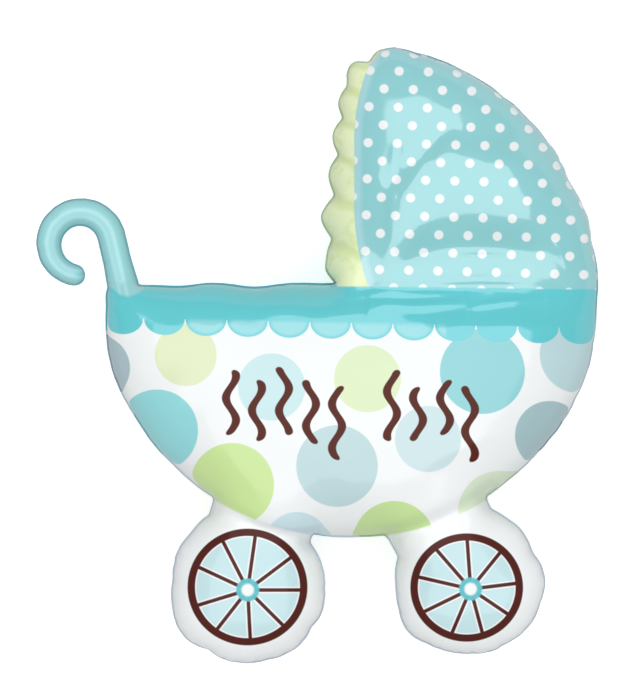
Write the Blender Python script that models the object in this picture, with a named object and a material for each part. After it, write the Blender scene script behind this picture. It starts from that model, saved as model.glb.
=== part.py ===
"""Baby carriage foil balloon, lying on its back as a loose balloon does.

Two printed foil sheets are welded round their outline and blown up, so the balloon is one closed
pillow. Its outline is a carriage: a boat-shaped body, a folding hood with a ruffled front edge, a
hooked push handle and two puffed wheels. Each of these is a lobe that swells on its own, and the
lobes meet in soft creases. A narrow welded seam runs round the whole outline.

The balloon's picture faces +Z, the carriage's upper side faces +Y and its hood stands at +X. The
lobes are laid out round the middle of the body's rim, in the plane of the seam. At the end the
origin moves to the middle of the bounding box, on the surface that the balloon lies on. Metres.
"""

import math

import bmesh
import bpy
import numpy as np
from mathutils import Matrix, Vector

# The body, a boat with short upright sides over a half ellipse whose flanks are a little straighter
BODY_LENGTH = 0.628
BODY_DEPTH = 0.320
BODY_SIDE = 0.031
BODY_SLIMMING = 0.028
BODY_THICKNESS = 0.226

# The hood, a quarter disc that stands on the rim of the body, and the ruffle along its front edge
HOOD_THICKNESS = 0.200
HOOD_HINGE_OFFSET = 0.003
HOOD_TOP_LEAN_DEG = 11.0
RUFFLE_WIDTH = 0.040
RUFFLE_SCALLOP_DEPTH = 0.0105
RUFFLE_SCALLOPS = 6

# The wheels, two puffed discs on wide necks that lean towards the middle of the body
WHEEL_RADIUS = 0.0965
WHEEL_THICKNESS = 0.108
WHEEL_SPACING = 0.281
WHEEL_MID_OFFSET = 0.012
WHEEL_DROP = 0.089
LEFT_NECK_WIDTH = 0.124
RIGHT_NECK_WIDTH = 0.144

# The push handle, a tube with a hooked end that narrows towards its tip
HANDLE_ROOT_WIDTH = 0.041
HANDLE_WIDTH = 0.0356
HANDLE_TIP_WIDTH = 0.0245
HANDLE_STEM = 0.064
HANDLE_LEAN_DEG = 13.3
HANDLE_INSET = 0.0235
HOOK_RADIUS = 0.0398
HOOK_SWEEP_DEG = 243.0

# The weld round the outline, and the spot that the balloon lies on
SEAM_WIDTH = 0.004
SEAM_THICKNESS = 0.0010
FLAT_SPOT_DEPTH = 0.0030

# Film that can't stretch swells into a dome that is flatter in the middle than an ellipsoid
PUFF_ROUNDNESS = 2.8

# The hidden sides of the hood and the body reach this far into each other, as shares of the hood
HOOD_FOOT = 0.34
BODY_RISE = 0.34

# How fine the solids are
BODY_SEGMENTS, HOOD_SEGMENTS, WHEEL_SEGMENTS = 88, 116, 54
LOBE_RINGS, WHEEL_RINGS = 16, 12
HOOK_STEPS, STEM_STEPS, TIP_STEPS = 22, 6, 5
TUBE_STEPS = 7
OUTLINE_STEPS = 1440

HOOD_RADIUS = BODY_LENGTH / 2 - HOOD_HINGE_OFFSET


def clear_scene():
    for obj in list(bpy.data.objects):
        bpy.data.objects.remove(obj, do_unlink=True)


def collection(name):
    made = bpy.data.collections.new(name)
    bpy.context.scene.collection.children.link(made)
    return made


def foil_material():
    made = bpy.data.materials.new("printed_foil")
    made.use_nodes = True
    shader = made.node_tree.nodes["Principled BSDF"]
    shader.inputs["Base Color"].default_value = (0.42, 0.72, 0.74, 1.0)
    shader.inputs["Roughness"].default_value = 0.28
    shader.inputs["Metallic"].default_value = 0.15
    return made


def up_to(start, end, count):
    """Even steps from start, leaving out the end, where the next stretch of an outline begins."""
    return np.linspace(start, end, count, endpoint=False)


def body_bottom(x):
    """Height of the body's underside at x, measured from the rim."""
    share = np.clip(x / (BODY_LENGTH / 2), -1.0, 1.0)
    return -BODY_SIDE - (BODY_DEPTH - BODY_SIDE) * math.sqrt(1.0 - share**2)


def body_outline(count):
    """The boat, clockwise from its right end. Under the hood its rim rises, where it is hidden."""
    half = BODY_LENGTH / 2
    turn = up_to(0.0, math.pi, count)
    slim = 1.0 - BODY_SLIMMING * np.sin(2 * turn) ** 4
    keel = np.stack([half * np.cos(turn), -(BODY_DEPTH - BODY_SIDE) * np.sin(turn)], 1)
    keel = slim[:, None] * keel - np.array([0.0, BODY_SIDE])
    left_side = up_to((-half, -BODY_SIDE), (-half, 0.0), count // 8)
    rim = up_to((-half, 0.0), (HOOD_HINGE_OFFSET, 0.0), count // 2)
    rise = up_to(math.pi, 0.0, count // 2)
    reach = HOOD_RADIUS / 2
    under_hood = np.stack(
        [
            HOOD_HINGE_OFFSET + reach * (1.0 + np.cos(rise)),
            BODY_RISE * HOOD_RADIUS * np.sin(rise) ** 0.8,
        ],
        1,
    )
    right_side = up_to((half, 0.0), (half, -BODY_SIDE), count // 8)
    return np.concatenate([keel, left_side, rim, under_hood, right_side])


def ruffle_front(share):
    """How far the ruffle stands in front of the hinge, from its top at share 0 to the rim at 1.

    A row of half-wave scallops, shorter at the top, stands on a line that leans forwards as it
    comes down. The top and the foot of the ruffle are drawn in a little.
    """
    lean = 1.0 - (1.0 - share) ** 1.9
    scallop = np.abs(np.sin(math.pi * RUFFLE_SCALLOPS * share ** (1 / 1.28)))
    fullness = np.minimum(1.0, 0.4 + 3.0 * share)
    foot = np.minimum(1.0, 0.6 + 6.0 * (1.0 - share))
    width = (RUFFLE_WIDTH - RUFFLE_SCALLOP_DEPTH) * lean
    return foot * (width + RUFFLE_SCALLOP_DEPTH * fullness * scallop)


def hood_outline(count):
    """The hood with its ruffle, anticlockwise from its right foot, about the hinge corner."""
    top_angle = math.radians(90.0 - HOOD_TOP_LEAN_DEG)
    arc = up_to(0.0, top_angle, count)
    back = HOOD_RADIUS * np.stack([np.cos(arc), np.sin(arc)], 1)
    crown_start = back[-1]
    crown_peak = HOOD_RADIUS * np.array([0.085, 1.000])
    crown_end = HOOD_RADIUS * np.array([0.068, 0.920])
    t = up_to(0.0, 1.0, count // 6)[:, None]
    crown = (1 - t) ** 2 * crown_start + 2 * t * (1 - t) * crown_peak + t**2 * crown_end
    share = up_to(0.0, 1.0, count)
    front = np.stack([-ruffle_front(share), 0.93 * HOOD_RADIUS * (1.0 - share)], 1)
    turn = up_to(math.pi, 2 * math.pi, count // 2)
    left, right = front[-1, 0], HOOD_RADIUS
    foot = np.stack(
        [
            (left + right) / 2 + (right - left) / 2 * np.cos(turn),
            HOOD_FOOT * HOOD_RADIUS * np.sin(turn),
        ],
        1,
    )
    return np.concatenate([back, crown, front, foot])


def wheel_outline(count, neck_width, neck_angle):
    """A round wheel with a straight neck in the direction of neck_angle, about the wheel's middle."""
    angle = up_to(0.0, 2 * math.pi, count)
    along = np.cos(angle - neck_angle)
    across = np.abs(np.sin(angle - neck_angle))
    neck_end = 1.4 * WHEEL_RADIUS
    neck = np.minimum(neck_width / 2 / np.maximum(across, 1e-6), neck_end / np.maximum(along, 1e-6))
    reach = np.where(along > 0.0, np.maximum(neck, WHEEL_RADIUS), WHEEL_RADIUS)
    return np.stack([reach * np.cos(angle), reach * np.sin(angle)], 1)


def puckers(angle, count, depth, phase, calm_angle, calm_width):
    """The seam's buckling: uneven shallow bulges between sharper notches, as shares of the radius.

    It fades out round the calm angle, where the lobe runs on into the next one and has no seam.
    """
    wave = np.abs(np.sin(0.5 * (count * angle + 0.8 * np.sin(2 * angle + phase) + phase)))
    away = np.abs(np.angle(np.exp(1j * (angle - calm_angle)))) / calm_width
    return depth * (wave**0.6 - 0.75) * (1.0 - np.exp(-(away**6)))


def reach_of(outline, pole, angle):
    """Distance from the pole to an outline that is seen whole from there, in each direction."""
    offset = outline - pole
    direction = np.arctan2(offset[:, 1], offset[:, 0])
    order = np.argsort(direction)
    distance = np.hypot(offset[order, 0], offset[order, 1])
    return np.interp(angle, direction[order], distance, period=2 * math.pi)


def softened(reach, harmonics):
    """The outline with only its first few harmonics: what a bulge looks like far from the seam."""
    spectrum = np.fft.rfft(reach)
    spectrum[harmonics + 1 :] = 0.0
    return np.fft.irfft(spectrum, len(reach))


def puffed_lobe(name, outline, pole, thickness, segments, rings, pucker, harmonics=3):
    """A lobe of the balloon: a UV sphere whose equator is drawn out to the outline.

    The ring at the equator is the edge of the weld, the rings next to it are the weld's inner side,
    and the others run up the two swollen sheets to the pole, where the lobe is thickest.
    """
    mesh = bpy.data.meshes.new(name)
    shape = bmesh.new()
    bmesh.ops.create_uvsphere(shape, u_segments=segments, v_segments=rings, radius=1.0)
    shape.to_mesh(mesh)
    shape.free()
    points = np.empty(len(mesh.vertices) * 3)
    mesh.vertices.foreach_get("co", points)
    points = points.reshape(-1, 3)

    pole = np.asarray(pole)
    samples = up_to(-math.pi, math.pi, OUTLINE_STEPS)
    reach = reach_of(outline, pole, samples) * (1.0 + puckers(samples, *pucker))
    angle = np.arctan2(points[:, 1], points[:, 0])
    outer = np.interp(angle, samples, reach, period=2 * math.pi)
    deep = np.interp(angle, samples, softened(reach, harmonics), period=2 * math.pi)

    latitude = np.abs(np.arcsin(np.clip(points[:, 2], -1.0, 1.0)))
    ring = math.pi / rings
    climb = np.clip((latitude - ring) / (math.pi / 2 - ring), 0.0, 1.0) * math.pi / 2
    inwards = np.cos(climb)
    near_seam = inwards**3
    radius = inwards * (near_seam * outer + (1.0 - near_seam) * deep - SEAM_WIDTH)
    swell = np.sqrt(1.0 - inwards**PUFF_ROUNDNESS)
    height = SEAM_THICKNESS / 2 + (thickness - SEAM_THICKNESS) / 2 * swell
    on_edge = latitude < ring / 2
    radius = np.where(on_edge, outer, radius)
    height = np.where(on_edge, 0.0, np.sign(points[:, 2]) * height)
    flat = pole + radius[:, None] * np.stack([np.cos(angle), np.sin(angle)], 1)
    mesh.vertices.foreach_set("co", np.column_stack([flat, height]).ravel())
    mesh.update()
    return bpy.data.objects.new(name, mesh)


def wheel(name, x, neck_width, phase):
    """One puffed wheel, hung under the body at x."""
    middle = Vector((x, body_bottom(x) - WHEEL_DROP, 0.0))
    body_middle = Vector((0.0, -BODY_SIDE, 0.0))
    neck = body_middle - middle
    neck_angle = math.atan2(neck.y, neck.x)
    made = puffed_lobe(
        name,
        wheel_outline(OUTLINE_STEPS, neck_width, neck_angle),
        (0.0, 0.0),
        WHEEL_THICKNESS,
        WHEEL_SEGMENTS,
        WHEEL_RINGS,
        (8, 0.035, phase, neck_angle, 0.8),
    )
    made.data.transform(Matrix.Translation(middle))
    return made


def handle_path():
    """(points, radii) of the handle's middle line, from inside the body up and round the hook."""
    lean = math.radians(HANDLE_LEAN_DEG)
    up = np.array([-math.sin(lean), math.cos(lean)])
    side = np.array([-up[1], up[0]])
    root = np.array([-BODY_LENGTH / 2 + HANDLE_INSET, 0.0])
    stem_top = root + HANDLE_STEM * up
    height = up_to(-0.7 * HANDLE_STEM, HANDLE_STEM, STEM_STEPS)
    stem = root + height[:, None] * up
    stem_radii = np.interp(
        height, [0.0, HANDLE_STEM / 2], [HANDLE_ROOT_WIDTH / 2, HANDLE_WIDTH / 2]
    )
    share = np.linspace(0.0, 1.0, HOOK_STEPS)
    turn = math.radians(HOOK_SWEEP_DEG) * share[:, None]
    hook = stem_top + HOOK_RADIUS * (side - np.cos(turn) * side + np.sin(turn) * up)
    hook_radii = (HANDLE_WIDTH + (HANDLE_TIP_WIDTH - HANDLE_WIDTH) * share**2) / 2
    return np.concatenate([stem, hook]), np.concatenate([stem_radii, hook_radii])


def rounded_tip(points, radii):
    """The path with its closed end, a half round that shrinks almost to a point."""
    ahead = points[-1] - points[-2]
    ahead = ahead / np.linalg.norm(ahead)
    turn = np.linspace(0.0, math.pi / 2, TIP_STEPS + 1)[1:]
    reach = radii[-1] * np.sin(turn)
    shrink = radii[-1] * np.maximum(np.cos(turn), 0.08)
    return np.concatenate([points, points[-1] + reach[:, None] * ahead]), np.concatenate(
        [radii, shrink]
    )


def polyline(name, corners):
    """A POLY curve through the corners, which lie in the plane of the seam."""
    curve = bpy.data.curves.new(name, "CURVE")
    spline = curve.splines.new("POLY")
    spline.points.add(len(corners) - 1)
    for point, (x, y) in zip(spline.points, corners):
        point.co = (x, y, 0.0, 1.0)
    return curve


def tube_section(helpers):
    """The tube's cross-section for a radius of 1: round foil with a weld on each side."""
    half_width = HANDLE_WIDTH / 2
    round_part = 1.0 - SEAM_WIDTH / half_width
    half_weld = SEAM_THICKNESS / 2 / half_width
    turn = np.linspace(0.0, math.pi, TUBE_STEPS + 1)
    upper = np.stack([round_part * np.cos(turn), half_weld + round_part * np.sin(turn)], 1)
    curve = polyline("tube_section", np.concatenate([[(1.0, 0.0)], upper, [(-1.0, 0.0)], -upper]))
    curve.dimensions = "2D"
    curve.splines[0].use_cyclic_u = True
    made = bpy.data.objects.new("tube_section", curve)
    made.hide_render = True
    made.display_type = "WIRE"
    helpers.objects.link(made)
    return made


def handle_tube(helpers):
    """The hooked handle, a curve with the tube's section, made a mesh with welded caps."""
    points, radii = rounded_tip(*handle_path())
    curve = polyline("push_handle", points)
    curve.dimensions = "3D"
    curve.twist_mode = "Z_UP"
    curve.bevel_mode = "OBJECT"
    curve.bevel_object = tube_section(helpers)
    curve.use_fill_caps = True
    for point, radius in zip(curve.splines[0].points, radii):
        point.radius = radius
    guide = bpy.data.objects.new("push_handle_guide", curve)
    helpers.objects.link(guide)
    bpy.context.view_layer.update()
    graph = bpy.context.evaluated_depsgraph_get()
    mesh = bpy.data.meshes.new_from_object(guide.evaluated_get(graph))
    shape = bmesh.new()
    shape.from_mesh(mesh)
    bmesh.ops.remove_doubles(shape, verts=shape.verts, dist=1e-6)
    bmesh.ops.recalc_face_normals(shape, faces=shape.faces)
    shape.to_mesh(mesh)
    shape.free()
    made = bpy.data.objects.new("push_handle", mesh)
    made.matrix_world = guide.matrix_world.copy()
    bpy.data.objects.remove(guide, do_unlink=True)
    return made


def join_lobes(first, others, helpers):
    """One closed skin out of the overlapping lobes.

    Their seams lie in one plane and cross there, where the exact solver can leave stray faces, so
    the lobes are joined by the solver for closed meshes.
    """
    for other in others:
        helpers.objects.link(other)
        other.hide_render = True
        other.display_type = "WIRE"
        union = first.modifiers.new("join_" + other.name, "BOOLEAN")
        union.operation = "UNION"
        union.solver = "MANIFOLD"
        union.object = other
    bpy.context.view_layer.update()
    graph = bpy.context.evaluated_depsgraph_get()
    mesh = bpy.data.meshes.new_from_object(first.evaluated_get(graph))
    first.modifiers.clear()
    first.data = mesh


def lay_on_back(obj):
    """Presses the resting spot flat, and puts the origin on it under the middle of the box."""
    shape = bmesh.new()
    shape.from_mesh(obj.data)
    cut = bmesh.ops.bisect_plane(
        shape,
        geom=list(shape.verts) + list(shape.edges) + list(shape.faces),
        dist=1e-7,
        plane_co=Vector((0.0, 0.0, FLAT_SPOT_DEPTH - BODY_THICKNESS / 2)),
        plane_no=Vector((0.0, 0.0, -1.0)),
        clear_outer=True,
    )
    rim = [item for item in cut["geom_cut"] if isinstance(item, bmesh.types.BMEdge)]
    bmesh.ops.holes_fill(shape, edges=rim, sides=0)
    bmesh.ops.dissolve_degenerate(shape, dist=2e-5, edges=shape.edges)
    bmesh.ops.triangulate(shape, faces=shape.faces)
    bmesh.ops.recalc_face_normals(shape, faces=shape.faces)
    corners = np.array([vert.co for vert in shape.verts])
    low, high = corners.min(0), corners.max(0)
    middle = (low + high) / 2
    bmesh.ops.translate(shape, verts=shape.verts, vec=Vector((-middle[0], -middle[1], -low[2])))
    shape.to_mesh(obj.data)
    shape.free()


def main():
    clear_scene()
    balloon_parts = collection("baby_carriage_foil_balloon")
    helpers = collection("lobes_and_guides")
    helpers.hide_render = True

    body = puffed_lobe(
        "foil_balloon",
        body_outline(OUTLINE_STEPS // 4),
        (0.065 * BODY_LENGTH, -0.34 * BODY_DEPTH),
        BODY_THICKNESS,
        BODY_SEGMENTS,
        LOBE_RINGS,
        (26, 0.008, 0.4, 0.9, 0.9),
    )
    hood = puffed_lobe(
        "hood",
        hood_outline(OUTLINE_STEPS // 4),
        (0.41 * HOOD_RADIUS, 0.38 * HOOD_RADIUS),
        HOOD_THICKNESS,
        HOOD_SEGMENTS,
        LOBE_RINGS,
        (22, 0.012, 1.1, -1.57, 1.2),
    )
    hood.data.transform(Matrix.Translation((HOOD_HINGE_OFFSET, 0.0, 0.0)))
    left_x = WHEEL_MID_OFFSET - WHEEL_SPACING / 2
    right_x = WHEEL_MID_OFFSET + WHEEL_SPACING / 2
    wheels = [
        wheel("left_wheel", left_x, LEFT_NECK_WIDTH, 0.0),
        wheel("right_wheel", right_x, RIGHT_NECK_WIDTH, 2.0),
    ]
    balloon_parts.objects.link(body)
    join_lobes(body, [hood, *wheels, handle_tube(helpers)], helpers)
    lay_on_back(body)
    body.data.materials.clear()
    body.data.materials.append(foil_material())
    body.data.shade_smooth()
    body.data.set_sharp_from_angle(angle=math.radians(50.0))


main()
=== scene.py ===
# %% [markdown]
# # A baby carriage foil balloon
#
# The real object is two sheets of printed metallised film, welded to each other along a carriage
# outline and blown up with gas. Film can't stretch, so the sheets swell into lobes, and the spare
# length along the weld gathers into puckers. It is all one sealed pillow, so this file makes one
# piece of foil, and gives it the print. It lies on its back, and the camera looks down on it.

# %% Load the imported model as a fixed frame
import math

import bpy
import numpy as np
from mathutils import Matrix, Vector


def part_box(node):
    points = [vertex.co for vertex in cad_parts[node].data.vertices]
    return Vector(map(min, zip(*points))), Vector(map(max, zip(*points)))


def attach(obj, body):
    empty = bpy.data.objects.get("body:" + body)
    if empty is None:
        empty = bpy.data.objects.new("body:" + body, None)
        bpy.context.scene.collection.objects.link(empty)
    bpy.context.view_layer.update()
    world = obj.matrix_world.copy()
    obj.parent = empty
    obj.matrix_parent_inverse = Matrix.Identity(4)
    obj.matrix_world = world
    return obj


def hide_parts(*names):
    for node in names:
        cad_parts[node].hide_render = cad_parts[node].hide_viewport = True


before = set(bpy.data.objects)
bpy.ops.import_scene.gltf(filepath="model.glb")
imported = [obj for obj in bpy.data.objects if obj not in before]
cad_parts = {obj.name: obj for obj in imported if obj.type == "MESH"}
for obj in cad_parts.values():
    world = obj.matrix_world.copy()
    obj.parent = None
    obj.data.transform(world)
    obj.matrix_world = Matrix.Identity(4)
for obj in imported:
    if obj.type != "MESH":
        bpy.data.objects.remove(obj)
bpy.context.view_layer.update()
balloon_low, balloon_high = (np.array(corner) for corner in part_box("foil_balloon"))
print("balloon in the frame:", balloon_low.round(3), balloon_high.round(3))

# %% [markdown]
# ## The outline
#
# The weld is where everything starts. It could be drawn as one long list of points, but each lobe of
# the balloon has a rule of its own: a half ellipse for the body, a quarter disc with a scalloped
# ruffle for the hood, discs with necks for the wheels, and a hook for the handle. So each lobe is a
# function that says how far the edge lies from the lobe's middle in each direction, and the handle is
# all that lies near enough to its middle line. On top of that rule come the marks of this one balloon,
# measured on the photograph: notches where the edge is gathered, and smooth swells, because its wheels
# aren't quite round. Lengths are in metres about the middle of the body's rim. Places of folds and of
# the print are measured on the photograph in pixels, and from_photo turns them into metres on the
# balloon.

# %% A measuring rule for the photograph
PHOTO_WIDTH, PHOTO_HEIGHT = 620, 684
PIXEL = 0.787 / 616
PHOTO_ORIGIN = (317.5, 355.0)
LENS_MM, SENSOR_MM = 150.0, 36.0
CAMERA_OVER_SEAM = PHOTO_HEIGHT * PIXEL * LENS_MM / SENSOR_MM


def from_photo(x, y):
    """The place in the seam's plane, in metres, that lies under a pixel of the photograph."""
    return np.array([(x - PHOTO_ORIGIN[0]) * PIXEL, (PHOTO_ORIGIN[1] - y) * PIXEL])


def as_seen(points):
    """Where the seam's plane is hidden by each point: the camera sees high points further out."""
    middle = from_photo(PHOTO_WIDTH / 2, PHOTO_HEIGHT / 2)
    nearer = CAMERA_OVER_SEAM / (CAMERA_OVER_SEAM - points[:, 2:3])
    return middle + (points[:, :2] - middle) * nearer


# %% The sizes of the lobes
BODY_LENGTH, BODY_DEPTH, BODY_SIDE = 0.628, 0.320, 0.031
SLIMMING_RIGHT, SLIMMING_LEFT = 0.014, 0.005
HINGE_OFFSET = 0.003
HOOD_RADIUS = BODY_LENGTH / 2 - HINGE_OFFSET
HOOD_TOP_LEAN_DEG, HOOD_FOOT_DEPTH = 11.0, 0.34 * HOOD_RADIUS
RUFFLE_WIDTH, RUFFLE_SCALLOP_DEPTH, RUFFLE_SCALLOPS = 0.040, 0.0105, 6
RUFFLE_HEIGHT, RUFFLE_SPREAD = 0.93 * HOOD_RADIUS, 1 / 1.28
WHEEL_RADIUS, WHEEL_SPACING, WHEEL_MID_OFFSET, WHEEL_DROP = 0.0965, 0.281, 0.012, 0.089
HANDLE_ROOT_WIDTH, HANDLE_WIDTH, HANDLE_TIP_WIDTH = 0.041, 0.0366, 0.0275
HANDLE_STEM, HANDLE_LEAN_DEG, HANDLE_INSET = 0.0665, 13.3, 0.0235
HOOK_RADIUS, HOOK_SWEEP_DEG = 0.0405, 246.0
RIM_LIFT, RIM_WAVE, RIM_WAVE_LENGTH, RIM_WAVE_TOP = 0.0020, 0.0028, 0.102, 0.137
RIM_CALM_LEFT, RIM_FADE_LEFT, RIM_FADE_RIGHT = 0.035, 0.03, 0.02
WELD_WIDTH, WELD_DROOP = 0.003, 0.0026
OUTLINE_STEPS = 720
RIM_MIDDLE = np.array([0.0424, 0.0867])
BODY_HALF_THICKNESS = 0.226 / 2
SEAM_HEIGHT = balloon_high[2] - BODY_HALF_THICKNESS


# %% The outlines of the lobes
def up_to(start, end, count):
    """Even steps from start that leave out the end, where the next stretch begins."""
    return np.linspace(start, end, count, endpoint=False)


def body_outline():
    """A half ellipse under short upright sides, with a rim that waves a little and rises at the hood."""
    half = BODY_LENGTH / 2
    turn = up_to(0.0, math.pi, OUTLINE_STEPS)
    slimming = np.where(turn < math.pi / 2, SLIMMING_RIGHT, SLIMMING_LEFT)
    slim = 1.0 - slimming * np.sin(2 * turn) ** 4
    keel = np.stack([half * np.cos(turn), -(BODY_DEPTH - BODY_SIDE) * np.sin(turn)], 1)
    keel = slim[:, None] * keel - np.array([0.0, BODY_SIDE])
    left_side = up_to((-half, -BODY_SIDE), (-half, 0.0), OUTLINE_STEPS // 8)
    rim = up_to((-half, 0.0), (HINGE_OFFSET, 0.0), OUTLINE_STEPS // 2)
    from_left = rim[:, 0] + half
    fade = np.clip((from_left - RIM_CALM_LEFT) / RIM_FADE_LEFT, 0.0, 1.0)
    fade = fade * np.clip(-rim[:, 0] / RIM_FADE_RIGHT, 0.0, 1.0)
    to_second_top = np.minimum(from_left - RIM_WAVE_TOP, RIM_WAVE_LENGTH)
    wave = np.cos(2 * math.pi * to_second_top / RIM_WAVE_LENGTH)
    rim[:, 1] = fade * (RIM_LIFT + RIM_WAVE * wave)
    rise = up_to(math.pi, 0.0, OUTLINE_STEPS // 2)
    across = HINGE_OFFSET + HOOD_RADIUS / 2 * (1 + np.cos(rise))
    under_hood = np.stack([across, HOOD_FOOT_DEPTH * np.sin(rise) ** 0.8], 1)
    right_side = up_to((half, 0.0), (half, -BODY_SIDE), OUTLINE_STEPS // 8)
    return np.concatenate([keel, left_side, rim, under_hood, right_side])


def ruffle_front(share):
    """Half-wave scallops on a line that leans forwards, from the top at 0 to the rim at 1."""
    lean = 1.0 - (1.0 - share) ** 1.9
    scallop = np.abs(np.sin(math.pi * RUFFLE_SCALLOPS * share**RUFFLE_SPREAD))
    fullness = np.minimum(1.0, 0.4 + 3.0 * share)
    foot = np.minimum(1.0, 0.6 + 6.0 * (1.0 - share))
    width = (RUFFLE_WIDTH - RUFFLE_SCALLOP_DEPTH) * lean
    return foot * (width + RUFFLE_SCALLOP_DEPTH * fullness * scallop)


def hood_outline():
    """An arc up the back, a small crown, the ruffle down the front and a round hidden foot."""
    arc = up_to(0.0, math.radians(90.0 - HOOD_TOP_LEAN_DEG), OUTLINE_STEPS)
    back = HOOD_RADIUS * np.stack([np.cos(arc), np.sin(arc)], 1)
    peak, end = HOOD_RADIUS * np.array([0.085, 1.0]), HOOD_RADIUS * np.array([0.068, 0.92])
    t = up_to(0.0, 1.0, OUTLINE_STEPS // 6)[:, None]
    crown = (1 - t) ** 2 * back[-1] + 2 * t * (1 - t) * peak + t**2 * end
    share = up_to(0.0, 1.0, OUTLINE_STEPS)
    front = np.stack([-ruffle_front(share), RUFFLE_HEIGHT * (1.0 - share)], 1)
    turn = up_to(math.pi, 2 * math.pi, OUTLINE_STEPS // 2)
    middle, half = (front[-1, 0] + HOOD_RADIUS) / 2, (HOOD_RADIUS - front[-1, 0]) / 2
    foot = np.stack([middle + half * np.cos(turn), HOOD_FOOT_DEPTH * np.sin(turn)], 1)
    return np.concatenate([back, crown, front, foot]) + np.array([HINGE_OFFSET, 0.0])


def wheel_outline(neck_width, neck_angle):
    """A circle joined to a straight band that leaves it in the direction of the neck."""
    angle = up_to(0.0, 2 * math.pi, 2 * OUTLINE_STEPS)
    along, across = np.cos(angle - neck_angle), np.abs(np.sin(angle - neck_angle))
    end = 1.4 * WHEEL_RADIUS / np.maximum(along, 1e-6)
    neck = np.minimum(neck_width / 2 / np.maximum(across, 1e-6), end)
    reach = np.where(along > 0.0, np.maximum(neck, WHEEL_RADIUS), WHEEL_RADIUS)
    return np.stack([reach * np.cos(angle), reach * np.sin(angle)], 1)


def turn_between(angle, other):
    """The shorter turn from one angle to another, in radians."""
    return np.abs(np.angle(np.exp(1j * (angle - other))))


def pucker_wave(angle, count, depth, phase, calm_angle, calm_width):
    """Shallow bulges between sharper notches, |sine| to the 0.6, calm where two lobes join."""
    wave = np.abs(np.sin(0.5 * (count * angle + 0.8 * np.sin(2 * angle + phase) + phase)))
    away = turn_between(angle, calm_angle) / calm_width
    return depth * (wave**0.6 - 0.75) * (1.0 - np.exp(-(away**6)))


NOTCH_POINT, SHOULDER_SHARE, SHOULDER_BREADTH = 1.3, 0.45, 2.6


def notch_wave(angle, notches):
    """Pointed bells between low shoulders, each (direction in degrees, depth as a share of the reach,
    width in degrees)."""
    wave = np.zeros_like(angle)
    for at, depth, width in notches:
        away = np.degrees(turn_between(angle, math.radians(at))) / width
        shoulders = SHOULDER_SHARE * np.exp(-((away / SHOULDER_BREADTH) ** 2))
        wave -= depth * (np.exp(-(away**NOTCH_POINT)) - shoulders)
    return wave


def swell_wave(angle, swells):
    """Smooth bells, each (direction in degrees, rise as a share of the reach, width in degrees)."""
    wave = np.zeros_like(angle)
    for at, rise, width in swells:
        away = np.degrees(turn_between(angle, math.radians(at))) / width
        wave += rise * np.exp(-(away**2))
    return wave


# %% Lobes that say how deep a point lies inside them
DIRECTIONS = up_to(-math.pi, math.pi, 2880)


def lobe(outline, pole, pucker, notches=(), swells=()):
    """A pole and the reach of the edge in each direction, rounded a little, with its puckers.

    The pucker is what pucker_wave takes after the angle: count, depth, phase, calm angle and width.
    """
    offset = outline - np.asarray(pole)
    angle = np.arctan2(offset[:, 1], offset[:, 0])
    order = np.argsort(angle)
    distance = np.hypot(offset[order, 0], offset[order, 1])
    reach = np.interp(DIRECTIONS, angle[order], distance, period=2 * math.pi)
    waves = pucker_wave(DIRECTIONS, *pucker) + notch_wave(DIRECTIONS, notches)
    reach = reach * (1.0 + waves + swell_wave(DIRECTIONS, swells))
    bell = np.exp(-0.5 * (np.arange(-24, 25) / 8.0) ** 2)
    wrapped = np.concatenate([reach[-24:], reach, reach[:24]])
    return np.asarray(pole), np.convolve(wrapped, bell / bell.sum(), "valid")


def body_bottom(x):
    """Height of the keel's lowest line at x, on its half ellipse."""
    return -BODY_SIDE - (BODY_DEPTH - BODY_SIDE) * math.sqrt(1.0 - (2 * x / BODY_LENGTH) ** 2)


def wheel_lobe(x, neck_width, neck_aim, phase, notches, swells):
    """A wheel hung under the body at x. Its neck points at the aim, across, on the keel's top line."""
    middle = np.array([x, body_bottom(x) - WHEEL_DROP])
    neck_angle = math.atan2(-BODY_SIDE - middle[1], neck_aim - middle[0])
    outline = middle + wheel_outline(neck_width, neck_angle)
    return lobe(outline, middle, (9, 0.014, phase, neck_angle, 0.8), notches, swells)


HANDLE_LEAN = math.radians(HANDLE_LEAN_DEG)
HANDLE_UP = np.array([-math.sin(HANDLE_LEAN), math.cos(HANDLE_LEAN)])
HANDLE_SIDE = np.array([-HANDLE_UP[1], HANDLE_UP[0]])
HANDLE_ROOT = np.array([-BODY_LENGTH / 2 + HANDLE_INSET, 0.0])


def handle_path():
    """(points, half widths) along a straight stem and a hook, a circular arc that narrows."""
    up, side, root = HANDLE_UP, HANDLE_SIDE, HANDLE_ROOT
    height = up_to(-0.7 * HANDLE_STEM, HANDLE_STEM, 24)
    stem_half = np.interp(height, [0.0, HANDLE_STEM / 2], [HANDLE_ROOT_WIDTH / 2, HANDLE_WIDTH / 2])
    share = np.linspace(0.0, 1.0, 90)
    turn = math.radians(HOOK_SWEEP_DEG) * share[:, None]
    hook = root + HANDLE_STEM * up + HOOK_RADIUS * (side - np.cos(turn) * side + np.sin(turn) * up)
    hook_half = (HANDLE_WIDTH + (HANDLE_TIP_WIDTH - HANDLE_WIDTH) * share**2) / 2
    return np.concatenate([root + height[:, None] * up, hook]), np.concatenate([stem_half, hook_half])


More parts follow.
